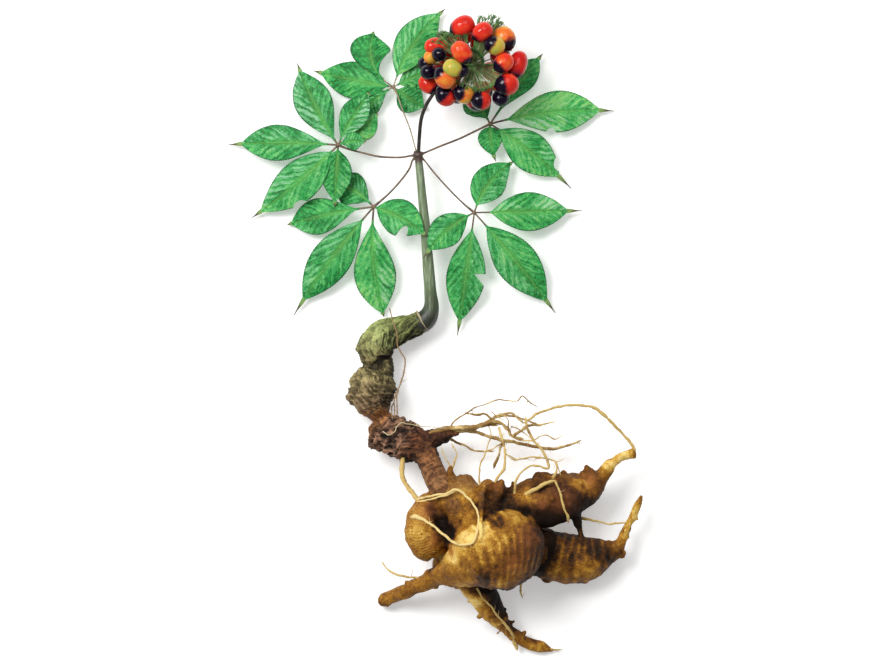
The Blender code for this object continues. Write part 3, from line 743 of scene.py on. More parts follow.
@dataclass(frozen=True)
class RootletSkin:
    """The skin of thin roots: straw, tan in patches, with fine cross marks."""

    name: str = "rootlet_straw"
    light: Colour = (0.80, 0.61, 0.25)
    dark: Colour = (0.30, 0.165, 0.045)
    dark_share: float = 0.38
    relief: float = 0.25
    gloss: float = 0.3

    def make(self) -> bpy.types.Material:
        """Build the material.

        Returns:
            The material.
        """
        made = Recipe(self.name)
        patch = made.between(made.grain(7, 3) + (self.dark_share - 0.5), 0.40, 0.66)
        fine = made.grain(0.8, 3)
        colour = made.mix(patch, self.light, self.dark)
        colour = made.mix(made.between(fine, 0.60, 0.75) * 0.5, colour, self.dark)
        return made.finish(colour, 0.6, fine, self.relief, Specular_IOR_Level=self.gloss)


@dataclass(frozen=True)
class StemSkin:
    """Smooth olive stem, almost black at its foot and at the collar, with fine length-wise streaks."""

    green: Colour = (0.14, 0.19, 0.095)
    pale: Colour = (0.30, 0.38, 0.24)
    foot: Colour = (0.022, 0.026, 0.016)
    collar: Colour = (0.075, 0.045, 0.035)
    relief: float = 0.12

    def make(self) -> bpy.types.Material:
        """Build the material.

        Returns:
            The material.
        """
        made = Recipe("stem_skin")
        share = made.noted("share")
        streak = made.grain(0.8, 3, stretch=(1, 0.06, 1))
        colour = made.mix(made.between(streak, 0.40, 0.70), self.green, self.pale)
        colour = made.mix(made.between(share + (streak - 0.5) * 0.1, 0.30, 0.08), colour, self.foot)
        # Painted shade: the side facing away from the key lamp is darkened to the foot's colour.
        colour = made.mix(made.noted("lee") * 0.62, colour, self.foot)
        colour = made.mix(made.between(share, 0.955, 0.99), colour, self.collar)
        return made.finish(colour, 0.34 + streak * 0.15, streak, self.relief)


@dataclass(frozen=True)
class StalkSkin:
    """The skin of a leaf's or the berries' stalk: green to brownish purple."""

    name: str
    light: Colour
    dark: Colour
    relief: float = 0.1

    def make(self) -> bpy.types.Material:
        """Build the material.

        Returns:
            The material.
        """
        made = Recipe(self.name)
        grain = made.grain(3, 3)
        colour = made.mix(made.between(grain, 0.35, 0.65), self.light, self.dark)
        return made.finish(colour, 0.42, grain, self.relief)


@dataclass(frozen=True)
class LeafSkin:
    """A leaflet read by its own map, across it and along it, and by the notes on its veins."""

    deep: Colour = (0.004, 0.135, 0.023)
    green: Colour = (0.013, 0.285, 0.055)
    bright: Colour = (0.060, 0.450, 0.100)
    vein: Colour = (0.190, 0.560, 0.120)
    sheen: Colour = (0.430, 0.680, 0.500)
    edge: Colour = (0.020, 0.070, 0.030)
    yellow: Colour = (0.240, 0.390, 0.120)
    brown: Colour = (0.110, 0.105, 0.050)
    relief: float = 0.75
    gloss: float = 0.28

    def make(self) -> bpy.types.Material:
        """Build the material.

        Returns:
            The material.
        """
        made = Recipe("leaf_skin")
        split = made.node("SeparateXYZ", None, {0: made.node("UVMap", {"uv_map": "leaf"}).outputs[0]})
        out = abs((Wire(made.tree, split.outputs[0]) - 0.5) * 2)
        along = Wire(made.tree, split.outputs[1])
        broad, crinkle, fine = made.grain(10, 3), made.grain(1.9, 4), made.grain(0.9, 4)
        streak = made.streaks(3.2, made.noted("flow"), out * 0.35, made.noted("number"))
        vein, swell, sheen = made.noted("vein"), made.noted("swell"), made.noted("sheen")
        light = broad * 1.3 + streak * 1.3 + (crinkle - 0.5) * (0.5 + along * 1.1)
        light = light + swell * 0.36 + (fine - 0.5)
        colour = made.ramp((light + made.noted("tint") - 1.00).clamped(), (
            (0.16, self.deep), (0.42, self.green), (0.74, self.bright), (1.0, self.vein),
        ))
        # Painted sheen: pale streaks mixed into the colour as a painted reflection, on the outer parts of the
        # blade.
        shine = made.between(streak * 0.55 + fine * 0.25 + swell * 0.16, 0.42, 0.62)
        shine = shine * made.between(broad, 0.34, 0.56) * sheen * made.between(out, 0.05, 0.30)
        colour = made.mix(shine * 0.75, colour, self.sheen)
        heart = made.between(out, 0.34, 0.0) * made.between(along, 0.95, 0.10)
        colour = made.mix(heart * 0.50, colour, self.vein)
        colour = made.mix(vein * (0.18 + streak * 0.62), colour, self.vein)
        colour = made.mix(made.between(out, 0.91, 0.99) * 0.8, colour, self.edge)
        speck = made.between(made.cells(5.5), 0.085, 0.04) * made.between(made.grain(13), 0.52, 0.62)
        colour = made.mix(speck * 0.8, colour, self.brown)
        drip = made.noted("drip")
        colour = made.mix(made.between(drip, 0.02, 0.30), colour, self.yellow)
        colour = made.mix(made.between(drip, 0.35, 0.80), colour, self.brown)
        rough = 0.40 + fine * 0.2 - shine * 0.10
        bump = fine * 0.4 + crinkle * 0.7 + streak * 0.6
        return made.finish(colour, rough, bump, self.relief, Specular_IOR_Level=self.gloss)


@dataclass(frozen=True)
class BerrySkin:
    """Glossy berries: each has its own ripeness, and a dark end."""

    plum: Colour = (0.150, 0.008, 0.020)
    black: Colour = (0.004, 0.001, 0.010)
    coat: float = 0.85
    coat_roughness: float = 0.04
    coat_ior: float = 1.33
    gloss: float = 0.04

    def make(self) -> bpy.types.Material:
        """Build the material.

        Returns:
            The material.
        """
        made = Recipe("berry_skin")
        blush, fine = made.grain(5, 2), made.grain(1.4, 3)
        ripe = made.noted("ripe") + (blush - 0.5) * 0.45 + (fine - 0.5) * 0.06
        colour = made.ramp(ripe.clamped(), (
            (0.00, (0.13, 0.30, 0.045)), (0.18, (0.42, 0.42, 0.060)), (0.34, (0.72, 0.40, 0.050)),
            (0.50, (0.78, 0.16, 0.025)), (0.66, (0.72, 0.035, 0.014)), (0.86, (0.52, 0.010, 0.010)),
            (1.00, (0.26, 0.006, 0.014)),
        ))
        cap = made.noted("cap") + (blush - 0.5) * 0.50 + (fine - 0.5) * 0.14
        dark = made.between(cap, 0.45, 0.60)
        colour = made.mix(made.between(cap, 0.28, 0.52) * 0.75, colour, self.plum)
        colour = made.mix(dark, colour, self.black)
        return made.finish(
            colour, 0.22 + dark * 0.04, Coat_Weight=self.coat, Coat_Roughness=self.coat_roughness,
            Coat_IOR=self.coat_ior, Specular_IOR_Level=self.gloss,
        )


# The plant's own sizes. Routes are close to those in the part's source, each station x, y, z and radius.


@dataclass(frozen=True)
class Tuber:
    """One swollen limb of the root.

    Attributes:
        route: Its stations.
        ring_gap: The distance between its growth rings.
        ring_depth: The depth of a ring.
        tone: How light it is, from -1 to 1.
        ring_reach: How far from its start the rings are strong, in millimetres.
        ring_lean: How far the top of a ring is ahead of its sides, as a share of their height.
        dots: How strongly its rings are stippled.
        grey: How grey its skin is.
    """

    route: tuple[Station, ...]
    ring_gap: float
    ring_depth: float
    tone: float = 0.0
    ring_reach: float = 90.0
    ring_lean: float = 0.0
    dots: float = 0.0
    grey: float = 0.0


# The limbs of the root: their stations, then ring_gap, ring_depth, tone, ring_reach and ring_lean.
CROWN = Tuber((
    (2.6, -77.3, 27.2, 5.4), (6.5, -80, 27.2, 8), (12.5, -86, 26.5, 13.5), (18.5, -95, 26, 17),
    (22, -105, 25, 17.5), (21, -114.5, 24, 14), (19, -122, 21, 9.8), (22.3, -130, 17, 8.4),
    (27.4, -138.6, 13.4, 6.4), (34, -147.5, 9.5, 4), (40, -153.5, 6, 2.8), (47, -157.6, 3.4, 2.2),
    (52.5, -159.2, 2.8, 2.7), (56, -160.4, 2.3, 1.3), (59, -161.3, 2, 0.6),
), 1.9, 0.05, 0.15)
FRONT = Tuber((
    (53.8, -111.6, 36, 2), (51.8, -111.2, 36, 9), (46.5, -110.2, 36, 15.5), (38.5, -109.5, 36, 19.6),
    (29.8, -110.5, 35.5, 20.2), (21.3, -113.5, 34, 17), (14.8, -117, 31.5, 12.2), (8.3, -120.6, 28, 8),
    (2.3, -122.8, 24.5, 5.2), (-5.2, -126.4, 19.5, 4.1), (-12.7, -129.8, 14.3, 3.5), (-20.2, -133.2, 8.4, 3.2),
    (-25.5, -135.8, 4.6, 3.3), (-28, -137, 3.6, 2.2),
), 3.9, 0.36, 0.05, 40, 0.45)
UPPER = Tuber((
    (24, -99, 24, 9), (37, -92.4, 23, 11.8), (49, -87.4, 22, 12.6), (60.3, -84, 21, 12.3),
    (69, -81.8, 20.5, 10.5), (76.4, -79, 20, 7.6), (82.2, -74.2, 20, 4.2), (85.4, -69.8, 20, 3),
    (88.8, -65.8, 20.5, 2.3), (93.5, -63, 21, 2.1), (99.6, -61.6, 22, 2.3),
), 2.9, 0.07, -0.30)
LOWER = Tuber((
    (33, -109, 17, 9), (47.2, -110, 14, 12.3), (59.8, -113.6, 11.7, 12.3), (72.2, -115, 11.2, 11.8),
    (82.2, -113, 11.8, 8.8), (89.2, -110.4, 12.2, 5), (92.4, -107.3, 12.6, 3), (95.2, -101.5, 13, 2.5),
    (98.7, -94, 13.5, 2.4), (101.2, -88.5, 14, 2.2), (103.4, -83, 14.5, 0.8),
), 4.6, 0.28, 0)
LEFT_LOBE = Tuber((
    (5.5, -84, 25, 5), (-0.7, -88, 24, 8.8), (-3.8, -94, 23.5, 11), (-3.8, -101, 22.5, 11.4),
    (-2.2, -108, 21.5, 9.8), (0.3, -113, 21, 5.2),
), 1.35, 0.16, 0.35, dots=1)
BACK_LOBE = Tuber((
    (26, -92, 20, 8), (22, -99, 15, 12), (16, -107, 12.6, 13.2), (9, -113.5, 11.8, 11.2), (3.5, -118.5, 11, 6),
    (0.5, -122, 10.6, 2.2),
), 2.4, 0.08, 0.2)
TUBERS = (CROWN, FRONT, UPPER, LOWER, LEFT_LOBE, BACK_LOBE)
# Round knobs on the tubers: x, y, z and radius, as at every knob and station below.
KNOBS = (
    (30, -82, 27.5, 6.4), (15.5, -76.8, 26, 4.4), (26, -78.4, 30, 4.2), (-4.6, -86.6, 20, 4.2),
    (10.5, -116.5, 20, 7), (55, -75.4, 25, 4.2), (76.4, -72, 21, 3.4), (40, -84.6, 29, 4.6),
    (79, -122.4, 10.5, 2.8), (55.6, -124.6, 10.5, 3), (47, -103, 15.5, 6), (34.6, -143.4, 13.4, 2.2),
    (-11.6, -127.8, 17, 1.8), (0, -128.4, 21, 1.6),
)
# Small pointed knobs on the tubers: a place, a direction and a radius.
NUBS = (
    ((38.7, -77.4, 27), (-0.2, 1, 0.2), 1.5), ((50.6, -75, 26), (0.1, 1, 0.1), 2.1),
    ((51.5, -73, 26), (-0.6, 0.9, 0.1), 1.2), ((63.7, -72.6, 23), (0.2, 1, 0), 1.7),
    ((75.4, -69.2, 21), (0, 1, 0), 1.5), ((72.6, -71, 22), (-0.4, 1, 0.1), 1.1),
    ((83.6, -76.8, 19.5), (1, 0.1, 0), 1.3), ((82.8, -79.6, 19), (1, -0.3, 0), 1.2),
    ((93.4, -111.8, 12.5), (1, -0.1, 0.1), 1.6), ((75, -124.4, 11.5), (0.3, -1, 0), 1.7),
    ((70.6, -124.6, 11), (-0.2, -1, 0), 1.2), ((88, -115.2, 11.5), (0.8, -0.7, 0), 1.1),
    ((-4, -122, 20.5), (-0.3, 1, 0.2), 0.9), ((-14.6, -126.4, 14.5), (-0.3, 1, 0.1), 0.8),
    ((11, -128.6, 20), (-0.9, -0.4, 0.1), 1.4), ((16.8, -136, 15), (-0.9, -0.5, 0), 1.3),
    ((22, -143.6, 12), (-0.9, -0.5, 0), 0.9), ((31.4, -152, 7.5), (-0.8, -0.7, 0), 0.7),
    ((34.8, -140, 12), (0.9, 0.4, 0.1), 1.1), ((38.6, -146.4, 9), (0.9, 0.3, 0.1), 1.1),
    ((44.6, -152.2, 6), (0.5, 0.9, 0), 0.9), ((96.2, -103.6, 13), (0.9, -0.3, 0.1), 0.9),
    ((100.8, -94.6, 14), (1, -0.2, 0), 0.8), ((97, -96, 13), (-0.9, 0.4, 0), 0.8),
    ((12.4, -74.6, 27), (0.1, 1, 0.2), 1.6), ((32.5, -77, 28), (0.4, 1, 0.2), 1.6),
    ((35.6, -79.6, 27), (0.8, 0.8, 0.1), 1.3), ((57.8, -84, 33.8), (0.1, -0.1, 1), 1.3),
    ((41, -94, 36.5), (0, 0.2, 1), 1.4), ((66.5, -87, 31.6), (0.2, -0.1, 1), 1.1),
)
# Patches on the upper skin: x, y, a radius, and how much lighter or darker it is. They are partly the skin's
# own tones and partly painted shade: the darkest lie in recesses and on shaded sides.
PATCHES = (
    (8, -113, 5.5, 1.2), (15.5, -98, 7.5, 0.9), (21, -102.5, 6.5, 0.8), (11.5, -103.5, 5.5, 0.8),
    (18, -91.5, 5, 0.6), (24.5, -96, 5, 0.7), (30, -106, 6, 0.45), (22, -115, 5, 0.35), (46, -84.5, 5, 1),
    (37.5, -89, 5, 0.55), (42, -95, 4, 0.4), (74.6, -78.6, 4.5, 1), (70, -76.5, 3.5, 0.6),
    (58, -118.5, 6, 0.95), (62.5, -109, 4, 0.6), (75, -119.5, 5, 0.6), (72.5, -108, 4, 0.5),
    (14, -130, 5, 1.2), (20, -137.5, 5, 1.1), (29, -147.5, 5, 1), (50, -158.8, 4, 0.7), (88, -65.5, 7, 1.4),
    (96.5, -62, 6, 1.3), (99, -93, 9, 1), (95.5, -102, 5, 0.7), (-8.5, -91, 4.5, 0.45), (-8.5, -101, 5, 0.6),
    (-20, -131, 10, 0.15), (-6, -127, 6, 0.3), (31, -125.5, 4.5, 0.8), (40, -122, 4, 0.5), (12, -79.5, 4, 0.5),
    (17.5, -83, 4, 0.35), (36.5, -102, 4, 0.5), (49, -106, 7, -0.7), (54.5, -116, 6.5, -0.8),
    (38, -112, 5, -0.35), (30, -118.5, 5, -0.45), (44, -126, 5, -0.7), (53, -97.5, 6, -1.2),
    (63, -96.5, 7, -0.9), (75, -91, 8, -1.2), (63.5, -79.5, 4.5, -0.8), (57, -89, 5, -0.8),
    (51, -79, 3.5, -0.7), (69, -85, 6, -0.9), (58, -102.5, 7, -0.9), (74, -103, 8, -0.85), (80, -111, 5, -0.6),
    (68, -115, 4, -0.7), (52, -124, 5, -0.7), (87, -114, 5, -0.7), (27.6, -82, 3.6, -0.8), (35, -82, 3, -0.6),
    (-1.2, -89.6, 3.2, -1.1), (3.2, -94.6, 3, -1.3), (6.4, -99.6, 2.8, -1.3), (7.6, -103.6, 2.2, -0.9),
    (10.5, -89.5, 4.5, -0.6), (20.5, -88, 3.5, -0.7), (30.5, -133.5, 5.5, -2), (33.5, -141, 4, -1.9),
    (38.5, -148.5, 3.5, -1.4), (49.5, -156.2, 2.5, -1.3), (5, -108, 2.6, -0.9), (30.5, -96, 2.6, -0.9),
    (24, -124, 5, -0.8), (62, -90.5, 3, 0.5), (48, -92, 3, 0.4), (55, -83.5, 2.5, 0.5),
    (45.5, -113, 2.5, 0.35),
)
# Hollows between the tubers: x, y, a radius and a depth. They are pressed in and also painted darker, as
# painted shade. Then patches of redder skin: x, y and a radius.
HOLLOWS = (
    (-1.4, -90, 2.8, 1.7), (3, -94.6, 2.8, 2.2), (6.2, -99.6, 2.7, 2.2), (7.5, -103.6, 2.2, 1.2),
    (28, -83, 2.6, 0.8), (31, -95.5, 2.2, 0.9), (38.5, -101, 2.4, 0.7), (16, -91, 3, 0.7),
    (53, -80.5, 2.4, 0.8), (60.5, -92.5, 3, 0.8), (44, -90.5, 2.6, 0.7), (69, -80.5, 2.4, 0.8),
    (12, -82.5, 2.2, 0.8),
)
RED_PATCHES = (
    (52, -86.5, 3), (-3.5, -89, 4), (30, -78, 3), (77, -75, 4), (63, -84, 6), (46, -104, 6), (39, -116, 5),
    (8, -108.6, 2.6), (-9, -91, 4.5), (-3, -105, 4),
)
# Shoots thick enough to share the tubers' skin, and then the rootlets.
THICK_SHOOTS = (
    ((24, -79, 31, 2.4), (23, -83.6, 40.5, 1.4), (22.6, -91.5, 46.4, 1.2), (22.8, -99, 51.8, 1.1),
     (22.6, -104.8, 53, 1.3)),
    ((9.5, -76.5, 28.5, 2.6), (7.2, -71, 30, 1.7), (8.2, -68, 30, 0.8)),
    ((69.6, -90, 19, 3.4), (71.6, -99, 17.8, 1.8), (73.4, -105.6, 15.4, 1.5), (74.6, -111.4, 14, 1.5)),
    ((88, -111.5, 12.5, 3), (93.6, -113.2, 12.6, 1.8), (95.4, -113.2, 12.6, 1.2)),
)
ROOTLETS = (
    ((98.8, -61.8, 22, 2), (98.6, -58, 22.5, 1.4), (91.6, -50, 24, 1.2), (83.4, -41.8, 26, 1.4),
     (76.6, -38, 27, 1.3), (66.6, -37.4, 27, 1.1), (56.6, -39.4, 27, 1), (49.2, -42.8, 26.5, 0.9),
     (43.5, -46.5, 26.5, 0.7)),
    ((-16.2, -64, 18.5, 2.4), (-16.6, -67.5, 20, 1.9), (-16.6, -72, 21.5, 1.9), (-14.8, -77, 23.5, 2),
     (-11.4, -81.6, 26, 1.9), (-8, -87, 28, 1.8)),
    ((26.8, -80, 28.5, 1.4), (31, -73.8, 31, 1.1), (34, -69, 30, 1.1), (34.8, -62, 29, 1),
     (34.4, -57.2, 28, 0.9)),
    ((22.6, -78, 31, 1), (21.6, -72.5, 31, 0.7), (23.2, -65.5, 30.5, 0.6), (26, -58.6, 30, 0.5)),
    ((7.4, -71, 30, 1), (10.6, -62, 30, 0.6), (7.8, -56.2, 30, 0.5)),
    ((43, -83.4, 31, 2.1), (48, -80, 33.4, 1.8), (54, -76.8, 34.6, 1.5), (59.6, -74.6, 34.4, 1.1)),
    ((59.6, -75.2, 34.6, 0.9), (61.4, -80, 36, 0.9), (63.6, -86, 36.4, 0.9), (65.6, -92.5, 34.6, 1),
     (66.4, -96, 31, 1.1)),
    ((39.4, -84, 30, 1.4), (40.6, -74, 31, 0.9), (45.2, -68.6, 31, 0.8), (50.5, -67.6, 30, 0.9),
     (56.6, -68.6, 29, 1.1), (53.6, -60.4, 29, 1), (49.4, -55.6, 29, 1), (45.6, -49.2, 30, 1),
     (44.4, -43.2, 30.5, 0.9)),
    ((57.6, -76, 27.5, 1.8), (61, -68.4, 27.5, 0.8), (57.2, -64.6, 26, 0.7), (48, -63.2, 25, 0.7),
     (40.6, -64.8, 24, 0.6), (36.8, -62.6, 24, 0.5)),
    ((-26.8, -116.4, 9, 0.6), (-23.4, -120.6, 11, 0.8), (-16.4, -123.4, 14.5, 0.9), (-8.6, -124, 19, 1),
     (-3, -125.4, 21, 1.2)),
    ((20.5, -128.6, 27, 0.9), (24, -134.6, 24, 0.8), (28.4, -139.6, 20.8, 0.8), (34, -146.6, 15, 0.9),
     (37.8, -151.6, 10.4, 1.2), (39.6, -157, 6.4, 1.7), (41, -160.8, 4, 1.3)),
    ((72, -94, 15, 1.2), (84.6, -96.6, 14.6, 0.8), (93, -96.8, 13.8, 0.8), (97.6, -96, 13.4, 1)),
    ((42.4, -121, 29, 1.4), (42.8, -130.4, 25, 0.8), (43.4, -134.4, 24, 0.5)),
)
# The loop that lies on the crown.
LOOP = (
    ((-9.6, -84.6, 27, 1.2), (-2.8, -82.6, 33.5, 1), (5.2, -81.4, 38.4, 1), (10.2, -79.4, 40, 1.1),
     (15.4, -82.6, 41, 1.1), (18.9, -86.6, 43.4, 1.1), (21.4, -92.4, 47.2, 1), (21, -99.5, 51.4, 1.1),
     (18.6, -104.8, 53, 1.1), (13.2, -106.6, 50, 1.1), (8.6, -105, 45, 1.1), (2, -100, 39, 1.1),
     (-4.6, -95.4, 35.4, 1.3), (-9.6, -93.2, 32.4, 2), (-12.4, -92.4, 29, 2)),
    ((-8.8, -85.8, 27.6, 0.9), (-2.4, -84.2, 33.6, 0.8), (4, -82.6, 37.8, 0.8), (9.6, -80.2, 39.6, 0.8)),
)
RHIZOME = (
    (8, -86, 27.5, 5.4), (4.8, -81.5, 28, 6.4), (1.6, -76.4, 27.4, 6.2), (-1, -71, 25.4, 5.9),
    (-3.4, -65.4, 23.2, 6), (-7.6, -59.6, 20, 7.4), (-15.6, -54.6, 16.6, 9.8), (-22.8, -50.2, 14.8, 9.2),
    (-26.2, -45.2, 13.6, 4.9), (-28.2, -41.8, 13, 5.9), (-30.7, -36, 12.4, 9.9), (-31.4, -29, 12, 11.6),
    (-30, -22.8, 11.6, 9.2), (-28.4, -18.2, 11.2, 7.2), (-29.6, -14.4, 11.2, 8.2), (-29.8, -8.6, 11.2, 9),
    (-26, -3.4, 11, 8.3), (-19.2, -0.6, 10.8, 7.1), (-11.8, 2, 10.4, 6.1), (-6.6, 4.2, 10.2, 5.4),
)
RHIZOME_KNOBS = (
    (-39.4, -32.4, 12.5, 5.4), (-38.6, -26.6, 13, 4.4), (-25, -30.5, 15.5, 4.4), (-36, -9.5, 13, 3.8),
    (-28.9, -55.6, 13.6, 5.3), (-28.8, -50, 15, 4.6), (-19.4, -47.6, 19.5, 4.6), (-22, -58, 16.5, 5.2),
    (-4.2, -56, 18.5, 5), (-14, -61.2, 16.5, 5.4), (-33.2, -5.2, 12, 4.5), (-33.8, -38.4, 13.6, 3.2),
    (-33.6, -24, 16, 5), (-36.2, -36.2, 13, 3.8), (-12.4, -53, 22, 4.6), (-18.4, -61, 18, 3.4),
)
# The old flap of tissue that the rootlets grow beside.
SPUR = (
    (-9, -57, 18.6, 5), (-3, -55.2, 18.8, 4.8), (2.4, -53.6, 18.8, 4.4), (7, -51.6, 18.6, 2.8),
    (12, -51.4, 18.2, 1.4),
)
# Dry hairs that hang down over the rhizome.
RHIZOME_HAIRS = (
    ((-23, 11, 20.5, 0.22), (-21.4, 5.2, 20.5, 0.26), (-19.2, -1.5, 20.4, 0.3), (-18.8, -8, 18.5, 0.34),
     (-15.6, -13.9, 18, 0.36), (-16, -21.3, 18, 0.36), (-18.9, -29.5, 18, 0.34), (-19.2, -36, 19, 0.32),
     (-19, -43.6, 21, 0.3)),
    ((-18.7, -29, 18, 0.26), (-20.6, -35, 18.5, 0.3), (-20.6, -40, 20, 0.3), (-20.6, -44, 22, 0.26)),
    ((-20.8, -36, 18.4, 0.24), (-22.2, -39.6, 18.5, 0.28), (-21.8, -44.6, 22, 0.26)),
)
# A pale hair that lies across it.
PALE_HAIRS = (
    ((-26.3, -50.6, 24.8, 0.2), (-23.4, -52.2, 26.4, 0.2), (-20.5, -50.2, 27.4, 0.2),
     (-19.3, -47.7, 27.4, 0.2), (-16.8, -46.5, 27, 0.2), (-13.9, -47.3, 26.4, 0.2), (-5, -48.4, 24.6, 0.2),
     (6, -49, 22.8, 0.2)),
)
# The rim of the old scale round the stem's foot.
SHEATH = (
    ((-9.4, 9.6, 10.5, 0.4), (-8.8, 8.2, 13.6, 0.6), (-7.4, 5.9, 15.6, 0.5), (-6, 3, 15.9, 0.3),
     (-4.2, 0.8, 13.9, 0.3), (-3, -0.6, 10.8, 0.3)),
)
STEM = (
    (-10, 2.8, 10.2, 5), (-6.1, 4.4, 10.3, 5.5), (-3.4, 7.4, 10.9, 4.9), (-2.1, 12.4, 12, 3.8),
    (-2.7, 20, 13.4, 3.1), (-4.2, 40, 15.2, 2.7), (-5.7, 57.5, 16.2, 2.4), (-7.2, 72.5, 16.8, 2.1),
    (-8.5, 86, 17, 1.9),
)
# Where the leaves and the berry stalk leave the stem.
WHORL = (-8.7, 87.5, 17.0)
# The spray of thin roots that leaves the spur.
SPRAY = (
    ((-6, -53, 20.5, 1.2), (0, -50.6, 21.2, 1.5), (7.5, -49, 21.4, 1.5), (18, -48.4, 21.2, 1.4),
     (23.6, -47.2, 21.4, 1.5), (28, -45.8, 21.6, 1.4), (32, -46.6, 21.2, 1.2), (36.6, -50, 20.6, 1.1),
     (38, -52.8, 20.2, 1), (44.6, -54.6, 20, 0.6)),
    ((-4, -52, 19.6, 1.2), (3, -49.4, 19.6, 1.3), (12, -49.9, 19.2, 1.1), (20, -48, 19.4, 1.1),
     (27, -47.6, 19.8, 0.9), (31.4, -48.2, 20, 0.8)),
    ((-2, -53.6, 18, 1.6), (8.4, -50.8, 18.6, 1.4), (17.4, -50.4, 17.4, 1.2), (24, -52.2, 16.4, 1.1),
     (33.4, -55, 16, 1.1), (41.4, -56.6, 15.4, 1), (52.4, -59.2, 14.6, 1), (60, -59.2, 14, 0.9),
     (66.8, -57.6, 13.5, 0.8), (73.4, -55.2, 13, 0.5)),
    ((7, -49, 20.6, 0.5), (10.4, -44.6, 22.5, 0.5), (15, -41.8, 23.6, 0.5), (22.2, -38, 25, 0.4),
     (31.4, -35, 26, 0.4), (39.8, -35.4, 26, 0.4), (43.9, -32.9, 26, 0.4), (48.4, -37.2, 25, 0.35),
     (51.4, -39.2, 24.5, 0.3)),
    ((14.8, -41.4, 23.8, 0.55), (21.4, -42.6, 23, 0.7), (24.6, -41.9, 22.6, 0.7), (28.2, -44.6, 22.2, 0.9)),
    ((27.6, -45, 22, 0.9), (30.6, -42.8, 21, 0.7), (37.8, -41.8, 20, 0.65), (41.2, -44.8, 19.5, 0.6),
     (45.2, -47, 19, 0.5)),
    ((38.4, -53.4, 20.4, 0.9), (40.6, -51.7, 21.4, 0.9), (43.9, -49.6, 23, 0.9), (46.6, -47, 25.4, 0.9)),
    ((44.2, -48.6, 21.8, 0.7), (48, -47.6, 21.5, 0.7), (51.6, -48, 21.5, 0.6), (53.8, -47, 21.5, 0.5)),
    ((40, -54.2, 20, 0.6), (44, -55.4, 20, 0.5), (49.2, -55.2, 20.5, 0.45), (52.6, -53.2, 20.5, 0.4),
     (56, -52.8, 20.5, 0.4), (60, -54.2, 20.5, 0.35), (63.6, -52.8, 20.5, 0.3)),
    ((31.6, -48.4, 20.2, 0.7), (32.8, -52.4, 20.4, 0.8), (33.8, -55.4, 20.4, 0.9), (34.6, -58.6, 20.6, 0.8)),
    ((33.6, -56.4, 18.4, 0.7), (32.2, -60, 16, 0.7), (30.9, -64.6, 13, 0.8), (29.2, -69.4, 10.6, 1.1)),
    ((34, -56.2, 18.6, 0.5), (31.4, -57.6, 18, 0.45), (29, -59.4, 17.2, 0.4), (25.8, -60.2, 16.6, 0.3)),
    ((18, -51, 15.4, 0.9), (27, -45, 11, 0.7), (39, -43, 8.5, 0.6), (52, -47.6, 7.5, 0.55),
     (60.5, -46, 7.5, 0.4)),
    ((3, -52.6, 17.4, 1), (12, -57, 11.5, 0.7), (20.5, -60.6, 8.5, 0.6), (30, -60.8, 7.5, 0.45)),
    ((34.6, -42.8, 21.6, 0.35), (36.5, -45.2, 21.6, 0.35), (36.6, -48.4, 21.2, 0.4), (37.4, -51.2, 20.6, 0.4)),
    ((27.8, -40.6, 22.4, 0.25), (30.8, -43.2, 22.2, 0.3), (34.4, -45.6, 21.6, 0.3)),
    ((26.6, -48, 19.4, 0.35), (27.6, -52, 18.8, 0.35), (26.8, -56, 18.2, 0.35), (25.4, -60.2, 18, 0.3)),
    ((37.6, -48.2, 20.8, 0.35), (41.6, -49.6, 20.6, 0.35), (44.6, -51.8, 20.4, 0.3), (48.6, -55, 20.2, 0.3)),
)
# Thin roots that cross the gap between the spray and the tubers.
FINE_ROOTLETS = (
    ((47.6, -45.2, 30.4, 0.35), (48.8, -42.2, 30.4, 0.35), (51.4, -41.2, 30.2, 0.3)),
    ((35, -61.6, 28.6, 0.45), (38.4, -64.4, 28, 0.5), (41.2, -65.2, 27.6, 0.45), (46.4, -63.4, 27, 0.45),
     (51.4, -63.8, 26.6, 0.4), (55.2, -63.8, 26.4, 0.4), (58.4, -65.4, 26.2, 0.4), (61.2, -66, 26, 0.35),
     (64.6, -64.4, 26, 0.25)),
    ((60.4, -65.8, 26, 0.4), (61.6, -69.4, 26.4, 0.45), (63.4, -73.6, 26, 0.6)),
    ((8.4, -70.2, 29.6, 0.5), (5.4, -64, 28.6, 0.4), (2.8, -58.6, 27, 0.4)),
    ((53, -159.8, 3.4, 1.4), (58, -160.6, 2.4, 1), (64.4, -160.8, 1.4, 0.4)),
)


class Side(Enum):
    """A side of a leaflet, seen from its stalk towards its tip."""

    LEFT = -1
    RIGHT = 1


class Wound(Enum):
    """What happened to a leaflet's edge."""

    EATEN = "eaten"
    TORN = "torn"


@dataclass(frozen=True)
class Bite:
    """A piece gone from a leaflet's edge.

    Attributes:
        side: The side it is on.
        place: Its middle, or where it is torn, as a share of the blade's length.
        reach: Half its length, or how far it takes to be whole again, as such a share.
        depth: How much of the half width is gone.
        wound: What happened to it.
    """

    side: Side
    place: float
    reach: float
    depth: float
    wound: Wound = Wound.EATEN

    def left(self, share: np.ndarray) -> np.ndarray:
        """Work out what the bite leaves of the blade.

        Args:
            share: Where to look, as shares of the blade's length.

        Returns:
            How much of the half width is left there.
        """
        away = (share - self.place) / self.reach
        if self.wound is Wound.TORN:
            gone = np.where(away < 0, 0.0, np.clip(1 - away, 0, 1) ** 1.2)
        else:
            gone = np.clip(1 - away**2, 0, 1) ** 0.6
        return 1 - self.depth * gone


